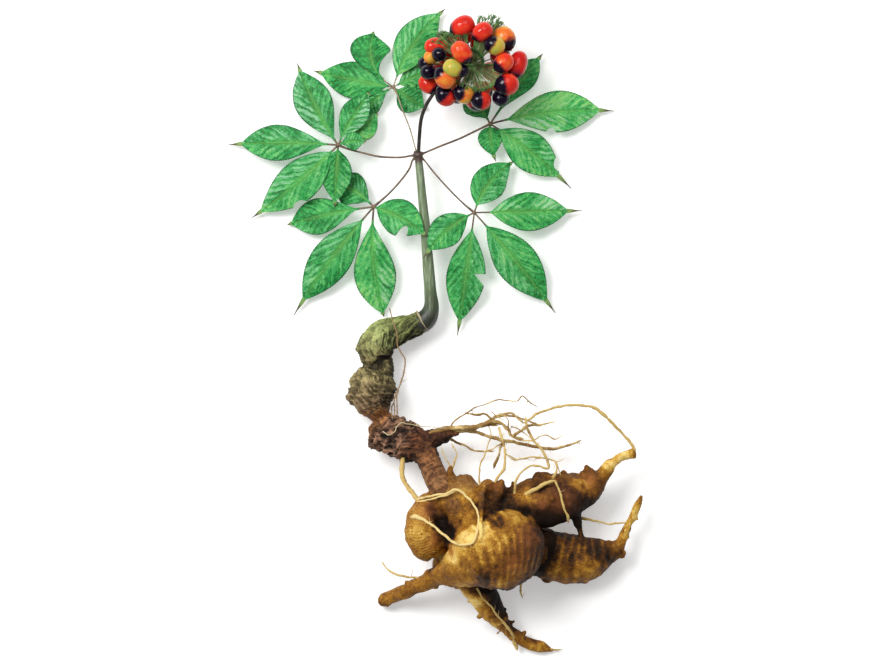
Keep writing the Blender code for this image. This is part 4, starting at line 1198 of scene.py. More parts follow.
@dataclass(frozen=True)
class Leaflet:
    """One leaflet: the sizes that its outline and its bend are worked out from.

    Attributes:
        tip: Where it ends.
        width: Its width.
        belly: Where it is widest, as a share of its length.
        stalk: The length of its own stalk.
        drip: The length of its thin tip.
        bow: How far it bends to its left.
        arch: How far it bends up.
        bites: What is gone from its edges.
        sheen: How strong the pale sheen painted into its colour is, a painted reflection.
        tint: How much lighter it is than others.
    """

    tip: Place
    width: float
    belly: float
    stalk: float
    drip: float
    bow: float
    arch: float
    bites: tuple[Bite, ...] = ()
    sheen: float = 0.6
    tint: float = 0.0


@dataclass(frozen=True)
class LeafPlan:
    """One compound leaf.

    Attributes:
        node: The CAD node that it stands for.
        petiole: The way of its stalk.
        hub: Where its leaflets meet.
        leaflets: Its leaflets.
        stalk_radius: The radius of its stalk.
    """

    node: str
    petiole: tuple[Place, ...]
    hub: Place
    leaflets: tuple[Leaflet, ...]
    stalk_radius: float = 0.5


LEAVES = (
    LeafPlan("leaf_upper", ((-10.1, 91, 15.6), (-12.9, 101, 13.5), (-16.8, 111, 10.5), (-19, 117.5, 9)),
             (-21.2, 122, 8.4), (
        Leaflet((-31, 150, 4.5), 20.5, 0.70, 6, 1, 6, 2, sheen=0, tint=-0.10),
        Leaflet((4.8, 161.4, 3), 19.5, 0.50, 6, 3.5, 3.5, 1, sheen=0.5, tint=0.12),
        Leaflet((-61.4, 130.4, 1.6), 19, 0.50, 3, 4, 0.5, -1, sheen=0.2),
        Leaflet((-38.4, 103, 1.8), 10.5, 0.55, 3, 1.5, -2.5, -0.5),
        Leaflet((-4.4, 111.5, 2.6), 15.5, 0.50, 2.5, 2, -0.5, 0, sheen=0.4),
        Leaflet((8, 133.6, 2.4), 15, 0.50, 3, 2, 1, -1),
    ), 0.36),
    LeafPlan("leaf_left", ((-12.6, 87.2, 16.6), (-18, 86.4, 16.5), (-28, 86.8, 16), (-36, 88.6, 16),
                           (-43, 90.4, 15.5)), (-48.8, 92.6, 15.2), (
        Leaflet((-103.9, 93.2, 1), 18.6, 0.58, 6, 6.5, -1, 4, sheen=0.7),
        Leaflet((-69.3, 133.6, 9), 19.5, 0.56, 3.5, 4, 1.5, 3, sheen=0.8, tint=-0.08),
        Leaflet((-33, 119.2, 12.5), 14.5, 0.54, 3.5, 1.5, 0.8, 1.5, sheen=1),
        Leaflet((-29, 108.5, 9.5), 13.5, 0.60, 2.5, 1, -1, -0.5, tint=0.15),
        Leaflet((-92.2, 56.6, 1.2), 21, 0.48, 5, 5.5, 1.4, 3, (Bite(Side.LEFT, 0.62, 0.07, 0.25),), 0.8, 0.1),
        Leaflet((-50.6, 61.8, 9), 16, 0.45, 2.5, 2.5, 0, 1, sheen=0.3),
        Leaflet((-34.8, 94.2, 17.8), 9.5, 0.55, 2, 1, 1, 1.2),
    )),
    LeafPlan("leaf_lower_left", ((-11.7, 84.7, 15.6), (-13.2, 80.6, 15), (-17.8, 74.4, 13.5), (-23.8, 68, 12)),
             (-31, 61.8, 10.8), (
        Leaflet((-51.5, 75, 4), 17.5, 0.60, 3, 1.5, -1.5, -0.5, tint=-0.1),
        Leaflet((-74.4, 53, 1.6), 18.6, 0.60, 8, 2, -1, 1.5, sheen=0.3),
        Leaflet((-71.2, 7.6, 0.9), 20.5, 0.52, 9, 9, -1.5, 3.5, sheen=0.5),
        Leaflet((-26, 6.8, 2.2), 21.4, 0.58, 7.5, 2, -2.6, 2.5, sheen=0.8, tint=0.20),
        Leaflet((-4.2, 46.8, 19.6), 19, 0.46, 2, 2.5, 1.6, 3.2, (Bite(Side.RIGHT, 0.66, 0.10, 0.75),), 0.3),
    )),
    LeafPlan("leaf_lower_right", ((-5.3, 84.6, 16.4), (-0.4, 78.4, 16.5), (7.2, 70, 16), (13.8, 63.5, 15)),
             (19.4, 58.8, 14.4), (
        Leaflet((38.8, 84.4, 5), 17.5, 0.46, 4, 1.5, 3, 1, sheen=0.5),
        Leaflet((73.3, 60, 2.6), 20, 0.50, 8.5, 7, 0, 2.5, sheen=0.8, tint=0.18),
        Leaflet((60, 8.8, 0.9), 21.6, 0.50, 9.5, 7.5, 1, 4, sheen=0.4),
        Leaflet((11, -2.6, 1.6), 20, 0.52, 9, 7.5, 0.2, 3,
                (Bite(Side.LEFT, 0.46, 0.14, 0.70, Wound.TORN),), 0.4),
        Leaflet((-6.2, 35.6, 20), 16.6, 0.50, 3.5, 5, -2.6, 0.5, sheen=0.4),
    ), 0.42),
    LeafPlan("leaf_right", ((-5, 88.9, 15.8), (2.2, 92, 14.5), (12.2, 96, 12.5), (21.2, 100.4, 10.4)),
             (27.4, 103.4, 9.2), (
        Leaflet((89.6, 110.2, 1), 21.4, 0.56, 8.5, 7, 2.6, 3, (Bite(Side.RIGHT, 0.46, 0.05, 0.22),), 1, 0.34),
        Leaflet((68, 71.4, 0.9), 20, 0.50, 5.5, 8.5, 1.5, 3, (Bite(Side.LEFT, 0.88, 0.07, 0.60),), 0.6, 0.14),
        Leaflet((30.2, 84.8, 7.6), 12.8, 0.38, 1.5, 3, -1, 0.5, sheen=0.1),
        Leaflet((53.8, 138.8, 4), 13.6, 0.66, 6, 3, 0.7, -0.5, sheen=0.2),
        Leaflet((14, 121, 2.4), 15, 0.55, 3, 1.5, -1, -1.5),
    )),
)
# The middle of the berry head, and the way of its stalk.
UMBEL = (18.2, 132.0, 29.0)
PEDUNCLE = (
    (-8.5, 89, 18.2), (-8, 97.5, 20), (-7.2, 105, 22), (-5.2, 111, 24.5), (-2.2, 116.2, 26.5), (2, 121.6, 28),
    (9, 127.4, 29), UMBEL,
)


@dataclass(frozen=True)
class Berry:
    """One berry.

    Attributes:
        place: Its middle, from the umbel's middle.
        dark_end: Where its dark end points.
        long: Half its length.
        wide: Half its width.
        ripe: From green at 0 to dark red at 1.
        cap: The share of its length that is dark.
    """

    place: Place
    dark_end: Place
    long: float
    wide: float
    ripe: float = 0.7
    cap: float = 0.3


BERRIES = (
    Berry((-4.8, 19.2, 4), (-1, -0.45, 0), 6.7, 5.1, 0.74, 0.10),
    Berry((5, 16, 9), (-0.9, -0.65, 0), 5.8, 4.6, 0.72, 0.13),
    Berry((16.2, 13, 3), (0.55, -1, 0.25), 6.6, 5.6, 0.44, 0.26),
    Berry((11.2, 9.4, 10), (-1, 0.45, 0.35), 5.4, 4.7, 0.26, 0.34),
    Berry((-17.6, 9.2, 2), (1, 0, -0.3), 6.4, 4.4, 0.70, 0.02),
    Berry((-16.4, 5, 8), (0.2, 0.2, 1), 3.9, 3.7, 0.95, 1.05),
    Berry((-5, 5.6, 16.5), (0.75, -0.85, -0.05), 6.4, 4.6, 0.64, 0.16),
    Berry((-9.6, -2.2, 15.6), (1, -0.55, 0.1), 5.2, 4.3, 0.20, 0.06),
    Berry((-4.9, -3.4, 13.6), (0.5, -0.4, 1), 3.5, 3.3, 0.95, 1.05),
    Berry((-21.9, -3.6, 4.4), (0.1, 0.2, 1), 3.9, 3.9, 0.95, 1.05),
    Berry((-23.2, 0.8, -1), (0.5, 0.4, 0.9), 4.1, 3.7, 0.90, 0.75),
    Berry((-13.6, -6.6, 12.6), (-0.75, 0.85, 0.15), 6.2, 4.9, 0.50, 0.28),
    Berry((-21.8, -9.6, -3), (0.9, -0.9, 0.2), 5.6, 4.2, 0.72, 0.20),
    Berry((-13.2, -15.6, 5), (-0.8, 0.6, 0.45), 5.6, 4.9, 0.74, 0.40),
    Berry((-4.4, -14.6, 7.6), (-0.9, 0.35, 0.35), 5.6, 4.7, 0.44, 0.40),
    Berry((4.4, -17.8, 7), (-1, 0.1, 0.45), 5.3, 4.7, 0.74, 0.40),
    Berry((22.4, -0.4, 3), (-0.35, -1, 0.25), 8, 4.7, 0.80, 0.20),
    Berry((15.6, 0.6, 9.5), (-0.8, -0.65, 0.2), 5.7, 4.6, 0.64, 0.26),
    Berry((17.2, -9.8, 6.4), (-0.95, -0.2, 0.3), 6.3, 5.5, 0.72, 0.34),
    Berry((14.4, -16.4, 2), (-0.2, -0.6, 0.8), 4.6, 4.3, 0.92, 0.90),
    Berry((-20.4, 3.8, 2), (0.6, -0.2, -0.6), 4, 3.4, 0.40, 0),
)

# Where the rays of the flowers that set no fruit end: a place from UMBEL, how far about it, and how many.
TUFTS = (
    ((7.6, 21.6, 4), (6, 2.6, 2), 34), ((11, 19.6, 4.5), (4.4, 1.4, 1.5), 10),
    ((-13.5, 14.8, 3), (4.5, 1.6, 2), 18), ((-16, 11.8, 6), (3, 1.4, 1), 8),
    ((1.5, -11.5, 8.5), (3.6, 1.5, 1), 10), ((14.6, 18.2, 1), (3, 1, 1), 8),
    ((-6.5, 13.6, 6), (5, 0.9, 1), 12), ((-4.5, -10.2, 10.5), (2, 1.2, 1), 6),
)


# The pieces.


@dataclass
class TuberousRoot:
    """The swollen root and the rootlets that grow from it."""

    voxel: float = 0.58
    soften: int = 7
    step: float = 1.6
    sides: int = 28
    shoot_step: float = 0.8
    shoot_sides: int = 14
    warts: int = 170
    wart_radii: tuple[float, float] = (0.6, 1.5)
    deepest_ring: float = 0.42
    fine_ring_gap: float = 1.7
    skin: TuberSkin = field(default_factory=TuberSkin)

    def flesh(self) -> bpy.types.Object:
        """Model the tubers as one skin, with rings, warts and creases.

        Returns:
            The finished piece.
        """
        routes = [smooth_route(tuber.route, self.step) for tuber in TUBERS]
        shoots = [smooth_route(route, self.shoot_step) for route in THICK_SHOOTS]
        parts = [tubes("tuber_body", routes, self.sides), tubes("tuber_shoots", shoots, self.shoot_sides)]
        parts += [ball(knob[:3], (knob[3],) * 3) for knob in KNOBS]
        parts += [ball(place, (size, size, 1.5 * size), out, 14, 10) for place, out, size in NUBS]
        obj = fuse(parts, "tuber_flesh", self.voxel, self.soften)
        points = points_of(obj)
        self.relief(obj, points, read_axes(points, routes))
        return dress(obj, self.skin.make())

    def relief(self, obj: bpy.types.Object, points: np.ndarray, found: Reading) -> None:
        """Press the rings and lumps into the skin, and note them for the finish.

        Args:
            obj: The piece.
            points: Its vertices.
            found: Where each vertex lies on the tubers.
        """
        def own(name: str) -> np.ndarray:
            """A value of the tuber that each vertex belongs to."""
            return np.array([getattr(tuber, name) for tuber in TUBERS])[found.owner]

        normals = normals_of(obj)
        wobble = 2.0 * noise(points, 13, 1) + 0.6 * noise(points, 4, 2)
        phase = (found.along + own("ring_lean") * found.local[:, 2] + wobble) / own("ring_gap")
        wave = 0.5 + 0.5 * np.cos(2 * math.pi * phase)
        reach, bold = own("ring_reach"), own("ring_depth") / self.deepest_ring
        radius = np.hypot(found.local[:, 1], found.local[:, 2]) / np.maximum(found.ratio, 0.1)
        slim = ramp(radius, 8.0, 6.0)
        bold = bold * (1 - slim) * ramp(noise(points, 8, 3), -0.7, 0.5)
        bold *= 0.10 + 0.90 * ramp(found.along, reach, reach * 0.6)
        fine_phase = (found.along + 0.9 * noise(points, 5, 8)) / self.fine_ring_gap
        fine = 0.5 + 0.5 * np.cos(2 * math.pi * fine_phase)
        ring = wave**1.6 * bold + 0.35 * fine * slim * ramp(noise(points, 5, 7), -0.5, 0.4)
        # Where two limbs meet, noted so that the finish paints shade into the creases.
        crease = ramp(found.second, 1.42, 1.05) * ramp(found.ratio, 0.90, 1.0)
        upper = ramp(normals[:, 2], -0.25, 0.25)
        hollow = upper * sum(depth * spot(points[:, :2], (x, y), size) for x, y, size, depth in HOLLOWS)
        lumps = 1.15 * fractal(points, 12, 2, 4) + 0.78 * fractal(points, 4.6, 2, 14)
        lumps += 0.18 * fractal(points, 1.9, 3, 6) + 0.08 * ridges(points, 1.2, 2, 9)
        wart, dent = self.spots(points)
        height = lumps - self.deepest_ring * ring + 0.55 * wart - 0.45 * dent - hollow
        raise_skin(obj, points, normals, height)
        # Painted shade: the skin facing down and away from the key lamp is darkened, with a little noise.
        painted_side_shade = ramp(normals @ (0.45, -0.30, -0.75), 0.0, 0.85) * (0.75 + 0.35 * noise(points, 7, 21))
        warped = points[:, :2] + np.column_stack([
            1.8 * noise(points, 5, 15 + axis) + 1.4 * noise(points, 1.9, 35 + axis) for axis in range(2)
        ])
        # The tone takes the painted shade on the side away from the lamp, lighter warts, and darker dents and
        # hollows; the dark in the dents and hollows is painted shade too.
        tone = own("tone") - 0.9 * painted_side_shade + 0.45 * wart - 0.42 * dent - 0.32 * hollow
        # Lighter and darker patches: the skin's own tones, with painted shade in the darkest.
        for x, y, size, amount in PATCHES:
            tone += amount * upper * spot(warped, (x, y), size)
        red = sum(spot(warped, (x, y), size) for x, y, size in RED_PATCHES)
        top = ramp(points[:, 1], -92, -82) * ramp(points[:, 0], 28, 22) * ramp(points[:, 0], 0, 6)
        grey = 0.8 * top * ramp(noise(points, 6, 12), -0.6, 0.4)
        note(obj, ring=ring, crest=(1 - wave) ** 6 * bold, crease=crease, tone=tone)
        note(obj, red=np.clip(red, 0, 1), dots=own("dots") * wave, grey=grey)

    def spots(self, points: np.ndarray) -> tuple[np.ndarray, np.ndarray]:
        """Scatter warts and dents over the skin.

        Args:
            points: The vertices.

        Returns:
            How much each vertex is in a wart, and in a dent, from 0 to 1.
        """
        draw = np.random.default_rng(7)
        wart, dent = np.zeros(len(points)), np.zeros(len(points))
        for i, centre in enumerate(points[draw.integers(0, len(points), self.warts)]):
            radius = draw.uniform(*self.wart_radii)
            near = spot(points, centre, radius)
            if i % 2:
                wart = np.maximum(wart, near)
            else:
                dent = np.maximum(dent, near)
        return wart, dent

    def build(self) -> list[bpy.types.Object]:
        """Build the pieces that stand for the tuberous root.

        Returns:
            The pieces.
        """
        flesh = self.flesh()
        gold = RootletSkin("rootlet_gold", (0.64, 0.45, 0.15))
        thin = rootlets("tuber_rootlets", ROOTLETS + FINE_ROOTLETS, 0.60, gold)
        loop = rootlets("tuber_loop", LOOP, 0.56, RootletSkin())
        return [claim(obj, "tuberous_root") for obj in (flesh, thin, loop)]


def rootlets(name: str, routes: Sequence[Sequence[Station]], slender: float,
             skin: RootletSkin) -> bpy.types.Object:
    """Model thin roots that wander a little, with nodes and a few fine hairs.

    Args:
        name: The name of the piece.
        routes: The way each root goes.
        slender: How thick they are, as a share of the stations' radii.
        skin: Its finish.

    Returns:
        The finished piece.
    """
    draw = np.random.default_rng(len(routes))
    ways = []
    for route in routes:
        fine = smooth_route(route, 0.6)
        reach = np.minimum(np.arange(len(fine)), STEADY_STATIONS) / STEADY_STATIONS
        for axis in range(3):
            kink = 0.50 * noise(fine[:, :3], 4.5, 20 + axis) + 0.22 * noise(fine[:, :3], 1.8, 25 + axis)
            fine[:, axis] += kink * reach * (0.5 if axis == 2 else 1)
        fine[:, 3] = np.maximum(fine[:, 3] * slender, THINNEST_ROOT)
        fine[:, 3] *= 1 + 0.22 * noise(fine[:, :3], 2.1, 30) + 0.16 * noise(fine[:, :3], 0.9, 31)
        fine[-4:, 3] *= (0.95, 0.85, 0.65, 0.3)
        ways.append(fine)
        for _ in range(len(fine) // STATIONS_PER_HAIR):
            start = fine[draw.integers(len(fine) // 4, len(fine) - 2)]
            turn, length = draw.uniform(0, 2 * math.pi), draw.uniform(0.8, 3.0) ** 1.3
            out = np.array([math.cos(turn), math.sin(turn), draw.uniform(-0.4, 0.4)])
            bend = draw.uniform(-0.5, 0.5, 3)
            rows = [
                [*(start[:3] + out * length * t + bend * length * t * t), HAIR_RADIUS * (1.15 - t)]
                for t in (0, 0.5, 1)
            ]
            ways.append(smooth_route(rows, 0.7))
    return dress(tubes(name, ways, 8), skin.make())


@dataclass
class Rhizome:
    """The knobbly neck with its folds, scars and dry hairs."""

    voxel: float = 0.36
    soften: int = 7
    step: float = 1.2
    sides: int = 28
    spur_step: float = 0.8
    spur_sides: int = 14
    length: float = 110.6
    winding: float = 0.085
    skin: RhizomeBark = field(default_factory=RhizomeBark)

    def bark(self) -> bpy.types.Object:
        """Model the bark: one skin with folds that turn from crosswise to lengthwise.

        Returns:
            The finished piece.
        """
        route = smooth_route(RHIZOME, self.step)
        spur = smooth_route(SPUR, self.spur_step)
        parts = [tubes("rhizome_body", [route], self.sides), tubes("rhizome_spur", [spur], self.spur_sides)]
        parts += [ball(knob[:3], (knob[3],) * 3) for knob in RHIZOME_KNOBS]
        obj = fuse(parts, "rhizome_bark", self.voxel, self.soften)
        points, normals = points_of(obj), normals_of(obj)
        found = read_axes(points, [route])
        share = 1 - (run_along(route)[-1] - found.along) / self.length
        ridge, pit, height = self.folds(points, found, share)
        raise_skin(obj, points, normals, height)
        # Two dark spots, by the spur and at the neck's left side, are painted shade. They are kept with the
        # pits, which are painted almost black as painted shade.
        shaded = 0.8 * spot(points, (1, -55, 19), 6) + 0.75 * spot(points, (-9.5, -67.5, 24), (3.2, 6.5, 9))
        # The side facing away from the key lamp, noted for painted shade.
        lee = ramp(normals @ (0.66, -0.62, -0.20), 0.0, 0.85)
        # The side facing the key lamp, noted for painted light.
        worn = ramp(normals @ (-0.62, 0.50, 0.50), 0.35, 0.95)
        note(obj, share=share, ridge=ridge, pit=pit + shaded, lee=lee, worn=worn)
        run, lane_a, lane_b = self.turned(found.local).T
        note(obj, run=run, lane_a=lane_a, lane_b=lane_b)
        return dress(obj, self.skin.make())

    def turned(self, local: np.ndarray) -> np.ndarray:
        """Read places in a frame that winds round the rhizome.

        Args:
            local: Places along the rhizome and across it.

        Returns:
            The same places in that frame.
        """
        twist = local[:, 0] * self.winding
        return np.column_stack([
            local[:, 0],
            local[:, 1] * np.cos(twist) + local[:, 2] * np.sin(twist),
            local[:, 2] * np.cos(twist) - local[:, 1] * np.sin(twist),
        ])

    def folds(self, points: np.ndarray, found: Reading, share: np.ndarray) -> tuple[np.ndarray, ...]:
        """Work out the folds of the bark.

        Args:
            points: The vertices.
            found: Where each lies along the rhizome.
            share: The same as a share of its length.

        Returns:
            The ridge and the pit at each vertex, from 0 to 1, and the height in millimetres.
        """
        local = found.local + 0.9 * np.column_stack([noise(points, 4, 40 + axis) for axis in range(3)])
        turned = self.turned(local)
        lengthwise = ridges(turned * (0.16, 1.0, 1.0), 1.7, 2, 50)
        crosswise = ridges(local * (1.0, 0.28, 0.28), 2.0, 2, 60)
        netted = ridges(turned * (0.50, 1.0, 1.0), 2.3, 3, 70)
        green = ramp(share, 0.64, 0.76) * ramp(share, 1.02, 0.94)
        neck = ramp(share, 0.17, 0.08)
        smooth = np.maximum(neck, bell(share - 0.435, 0.022))
        mixed = green * lengthwise + (1 - green) * (0.35 * crosswise + 0.65 * netted)
        ridge = ramp(mixed, 0.26, 0.86) * (1 - neck) + neck * ramp(0.6 * crosswise + 0.4 * netted, 0.32, 0.82)
        old = ramp(share, 0.17, 0.22) * ramp(share, 0.42, 0.36)
        rough = 1 - smooth
        pit = rough * ramp(noise(points, 2.8, 80), 0.24, 0.55) * (0.30 + 0.70 * old)
        pit = np.maximum(pit, 0.8 * rough * ramp(noise(points * (1, 1, 0.7), 4.5, 83), 0.48, 0.70))
        strength = (1.25 - 0.30 * green) * rough + 0.30 * smooth
        height = strength * (ridge - 0.55) - 1.15 * pit - 0.6 * bell(share - 0.70, 0.02)
        height += rough * (0.22 * ridges(points, 1.3, 2, 95) + 0.9 * fractal(points, 7, 2, 90))
        return ridge, pit, height

    def build(self) -> list[bpy.types.Object]:
        """Build the pieces that stand for the rhizome.

        Returns:
            The pieces.
        """
        dry = RootletSkin("dry_hair", (0.34, 0.21, 0.10), (0.13, 0.07, 0.035))
        pale = RootletSkin("pale_hair", (0.72, 0.60, 0.36), (0.45, 0.33, 0.16))
        hairs = rootlets("rhizome_hairs", RHIZOME_HAIRS, 1.0, dry)
        pale_hair = rootlets("rhizome_pale_hair", PALE_HAIRS, 1.0, pale)
        pieces = ((self.bark(), "rhizome_bark"), (hairs, "rootlet"), (pale_hair, "rootlet"))
        return [claim(obj, "rhizome") for obj, slot in pieces]


@dataclass
class Stem:
    """The aerial stem, the dry scale round its foot, and the collar that the leaves grow from."""

    voxel: float = 0.35
    soften: int = 5
    collar_knobs: int = 6
    skin: StemSkin = field(default_factory=StemSkin)

    def stalk(self) -> bpy.types.Object:
        """Model the stem and its collar as one skin.

        Returns:
            The finished piece.
        """
        route = smooth_route(STEM, 1.0)
        collar = [ball(WHORL, (2.5, 2.2, 2.4))]
        for i in range(self.collar_knobs):
            turn = 2 * math.pi * i / self.collar_knobs + 0.4
            place = Vector(WHORL) + Vector((1.5 * math.cos(turn), 1.2 * math.sin(turn) + 0.4, 0.6))
            collar.append(ball(place, (1.0, 1.0, 1.3), (math.cos(turn), math.sin(turn), 0.2)))
        obj = fuse([tubes("stem_body", [route], 24), *collar], "stem_stalk", self.voxel, self.soften)
        points, normals = points_of(obj), normals_of(obj)
        found = read_axes(points, [route])
        grooves = noise(found.local * (0.05, 1.0, 1.0), 1.1, 5)
        raise_skin(obj, points, normals, 0.10 * grooves + 0.18 * fractal(points, 8, 2, 6))
        # The side away from the key lamp is noted for painted shade.
        note(obj, lee=ramp(normals @ (0.85, -0.2, -0.1), 0.0, 0.9), share=found.along / run_along(route)[-1])
        return dress(obj, self.skin.make())

    def build(self) -> list[bpy.types.Object]:
        """Build the pieces that stand for the stem.

        Returns:
            The pieces.
        """
        dry = RootletSkin("dry_sheath", (0.46, 0.37, 0.22), (0.20, 0.14, 0.07))
        pieces = (self.stalk(), rootlets("stem_sheath", SHEATH, 1.0, dry))
        return [claim(obj, "stem") for obj in pieces]


@dataclass
class Leaf:
    """One compound leaf: the blades as one piece and the stalks as another."""

    plan: LeafPlan
    blade_skin: bpy.types.Material
    stalk_skin: bpy.types.Material
    rows: int = 92
    columns: int = 32
    thickness: float = 0.34
    rise: float = 0.42
    lowest: float = 0.45
    vein_pairs: float = 8.5
    serration: float = 0.20
    tooth_turn: float = 210.0
    ripple_turn: float = 24.0
    droop: float = 0.10

    def midrib(self, leaflet: Leaflet, share: np.ndarray) -> np.ndarray:
        """Work out places on a leaflet's middle line.

        Args:
            leaflet: The leaflet.
            share: How far along they are, from the hub at 0 to the tip at 1.

        Returns:
            The places.
        """
        start, end = np.array(self.plan.hub), np.array(leaflet.tip)
        left = unit(np.array([-(end - start)[1], (end - start)[0], 0]))
        bend = (4 * share * (1 - share))[:, None]
        return start + (end - start) * share[:, None] + left * leaflet.bow * bend + (0, 0, leaflet.arch) * bend

    def directions(self, leaflet: Leaflet, share: np.ndarray) -> tuple[np.ndarray, np.ndarray]:
        """Work out the directions to a leaflet's left and up from it.

        Args:
            leaflet: The leaflet.
            share: Where on its middle line, from the hub at 0 to the tip at 1.

        Returns:
            The directions to the left, and those up.
        """
        ahead = unit(self.midrib(leaflet, share + 0.01) - self.midrib(leaflet, share - 0.01))
        left = unit(np.cross((0, 0, 1), ahead))
        return left, np.cross(ahead, left)

    def blade(self, number: int, leaflet: Leaflet) -> bpy.types.Object:
        """Model one blade from a grid: outline, fold, quilting between its veins, and thickness.

        Args:
            number: Which leaflet of the leaf it is.
            leaflet: Its sizes.

        Returns:
            The blade, with its map and the notes that the finish reads.
        """
        bpy.ops.object.select_all(action="DESELECT")
        bpy.ops.mesh.primitive_grid_add(x_subdivisions=self.columns, y_subdivisions=self.rows, size=2)
        obj = bpy.context.object
        grid = points_of(obj) * MM
        across, along = grid[:, 0], (grid[:, 1] + 1) / 2
        run = float(np.linalg.norm(np.array(leaflet.tip) - np.array(self.plan.hub)))
        start = leaflet.stalk - 0.6
        distance = start + along * (run - start)
        share = np.clip((distance - leaflet.stalk) / (run - leaflet.stalk - leaflet.drip), 0, 1)
        half = self.half_width(leaflet, share, distance, run)
        sideways = across * half
        for bite in leaflet.bites:
            limit = half * bite.left(share)
            over = (across * bite.side.value < 0) & (abs(sideways) > limit)
            pulled_in = np.sign(sideways) * (limit + 0.03 * (abs(sideways) - limit))
            sideways = np.where(over, pulled_in, sideways)
        middle = self.midrib(leaflet, distance / run)
        left, up = self.directions(leaflet, distance / run)
        level = sideways / np.maximum(half, 0.3)
        vein, swell, flow = self.veins(level, share, half)
        flat = middle + left * sideways[:, None]
        body = ramp(half, 1.0, 4.0)
        seed = 10 * len(self.plan.node) + number
        out = abs(level)
        fold = 0.30 * (swell - 0.5) - 0.30 * bell(level * half, 0.8) - self.droop * abs(sideways)
        wave = 0.75 * noise(flat, 11, seed) * out + 0.40 * np.sin(share * self.ripple_turn + number) * out**3
        crinkle = 0.42 * fractal(flat, 3.0, 3, seed + 11) * (0.4 + share) * (0.2 + 0.8 * ramp(out, 0.0, 0.25))
        lift = self.rise + body * (fold + wave + crinkle)
        places = flat + up * lift[:, None]
        places[:, 2] = np.maximum(places[:, 2], self.lowest)
        move_points(obj, places)
        # One half of each leaflet, left and right by turns, takes more of the painted sheen.
        bright = ramp(level * (1 if number % 2 else -1), -0.6, 0.35)
        drip = (distance - (run - leaflet.drip)) / leaflet.drip + 0.25
        note(obj, vein=vein * body, swell=swell, flow=flow, number=3.7 * seed, tint=leaflet.tint)
        note(obj, drip=np.clip(drip, 0, 1) * ramp(half, 2.4, 1.2), sheen=leaflet.sheen * (0.25 + 0.75 * bright))
        self.map_blade(obj, level, along)
        modify(obj, "SOLIDIFY", thickness=self.thickness * MM, offset=0, use_even_offset=False)
        return obj

    def half_width(self, leaflet: Leaflet, share: np.ndarray, distance: np.ndarray, run: float) -> np.ndarray:
        """Work out half the width of a leaflet, with the teeth of its edge.

        Args:
            leaflet: The leaflet.
            share: Where to look, as shares of its blade's length.
            distance: The same as distances from the hub.
            run: The distance from the hub to its tip.

        Returns:
            Half its width there.
        """
        curve = share ** (math.log(0.5) / math.log(leaflet.belly))
        half = leaflet.width / 2 * np.sin(math.pi * curve) ** 0.85
        tooth = 1 - self.serration / leaflet.width * 2 * (1 + np.sin(share * self.tooth_turn))
        thin = 0.20 + 0.40 * ramp(distance, run, run - leaflet.drip)
        thin += 0.50 * bell(distance - run + leaflet.drip, 0.42 * leaflet.drip)
        return np.maximum(half * tooth, thin)

    def veins(self, level: np.ndarray, share: np.ndarray, half: np.ndarray) -> tuple[np.ndarray, ...]:
        """Work out the veins, the swelling between them, and the veins passed on the way to each point.

        Args:
            level: Where each point is across the blade, from -1 to 1.
            share: Where it is along the blade.
            half: Half the width there.

        Returns:
            How much each point is on a vein, how far it swells, both from 0 to 1, and the veins passed.
        """
        out = abs(level)
        stagger = np.where(level > 0, 0.0, 0.35)
        where = np.column_stack([level * 6, share * 60, stagger * 20])
        phase = self.vein_pairs * (share**0.92 - (0.36 * out - 0.02 * out**2) * (half / 9.5)) + stagger
        phase += 0.30 * noise(where, 7, 2) + 0.16 * noise(where, 2.5, 3)
        from_line = 0.5 - abs(phase - np.floor(phase) - 0.5)
        side = bell(from_line, 0.075) * ramp(out, 1.0, 0.70)
        rib = bell(out * half, 0.38)
        swell = (2 * from_line) ** 0.7 * ramp(out, 0.02, 0.25)
        return np.clip(rib + 0.55 * side, 0, 1), swell, phase + 40 * (level > 0)

    def map_blade(self, obj: bpy.types.Object, level: np.ndarray, along: np.ndarray) -> None:
        """Give the blade a map.

        Args:
            obj: The blade.
            level: Where each vertex is across it, from -1 to 1.
            along: Where it is along it, from 0 to 1.
        """
        for layer in list(obj.data.uv_layers):
            obj.data.uv_layers.remove(layer)
        layer = obj.data.uv_layers.new(name="leaf")
        corner = np.empty(len(obj.data.loops), np.int32)
        obj.data.loops.foreach_get("vertex_index", corner)
        values = np.column_stack([(level + 1) / 2, along])[corner]
        layer.data.foreach_set("uv", values.astype(np.float32).ravel())

    def stalks(self) -> bpy.types.Object:
        """Model the leaf's stalk, the leaflets' own stalks and the ribs under them, as tapering tubes.

        Returns:
            The finished piece.
        """
        hub = self.plan.hub
        first = np.array(self.plan.petiole[0])
        toward = first + (np.array(WHORL) - first) * 0.45
        thin = self.plan.stalk_radius
        route = [(*toward, 0.95), *((*place, thin) for place in self.plan.petiole), (*hub, 0.7)]
        ways = [smooth_route(route, 0.9)]
        for leaflet in self.plan.leaflets:
            run = np.linalg.norm(np.array(leaflet.tip) - np.array(hub))
            shares = np.linspace(0, 1 - 0.6 * leaflet.drip / run, 40)
            distance = shares * run
            _, up = self.directions(leaflet, shares)
            radii = thin - (thin - 0.2) * ramp(distance, leaflet.stalk, run)
            sunk = (radii + 0.28) * ramp(distance, leaflet.stalk - 1.5, leaflet.stalk + 2.5)
            places = self.midrib(leaflet, shares) - up * sunk[:, None]
            places[:, 2] = np.maximum(places[:, 2], radii + 0.05)
            ways.append(np.column_stack([places, radii]))
        obj = join([tubes("stalks", ways, 10), ball(hub, (1.1, 1.1, 0.95))], f"{self.plan.node}_stalks")
        return dress(obj, self.stalk_skin)

    def build(self) -> list[bpy.types.Object]:
        """Build the pieces that stand for the leaf.

        Returns:
            The pieces.
        """
        blades = [self.blade(i, leaflet) for i, leaflet in enumerate(self.plan.leaflets)]
        obj = dress(join(blades, f"{self.plan.node}_blades"), self.blade_skin)
        return [claim(piece, self.plan.node) for piece in (obj, self.stalks())]


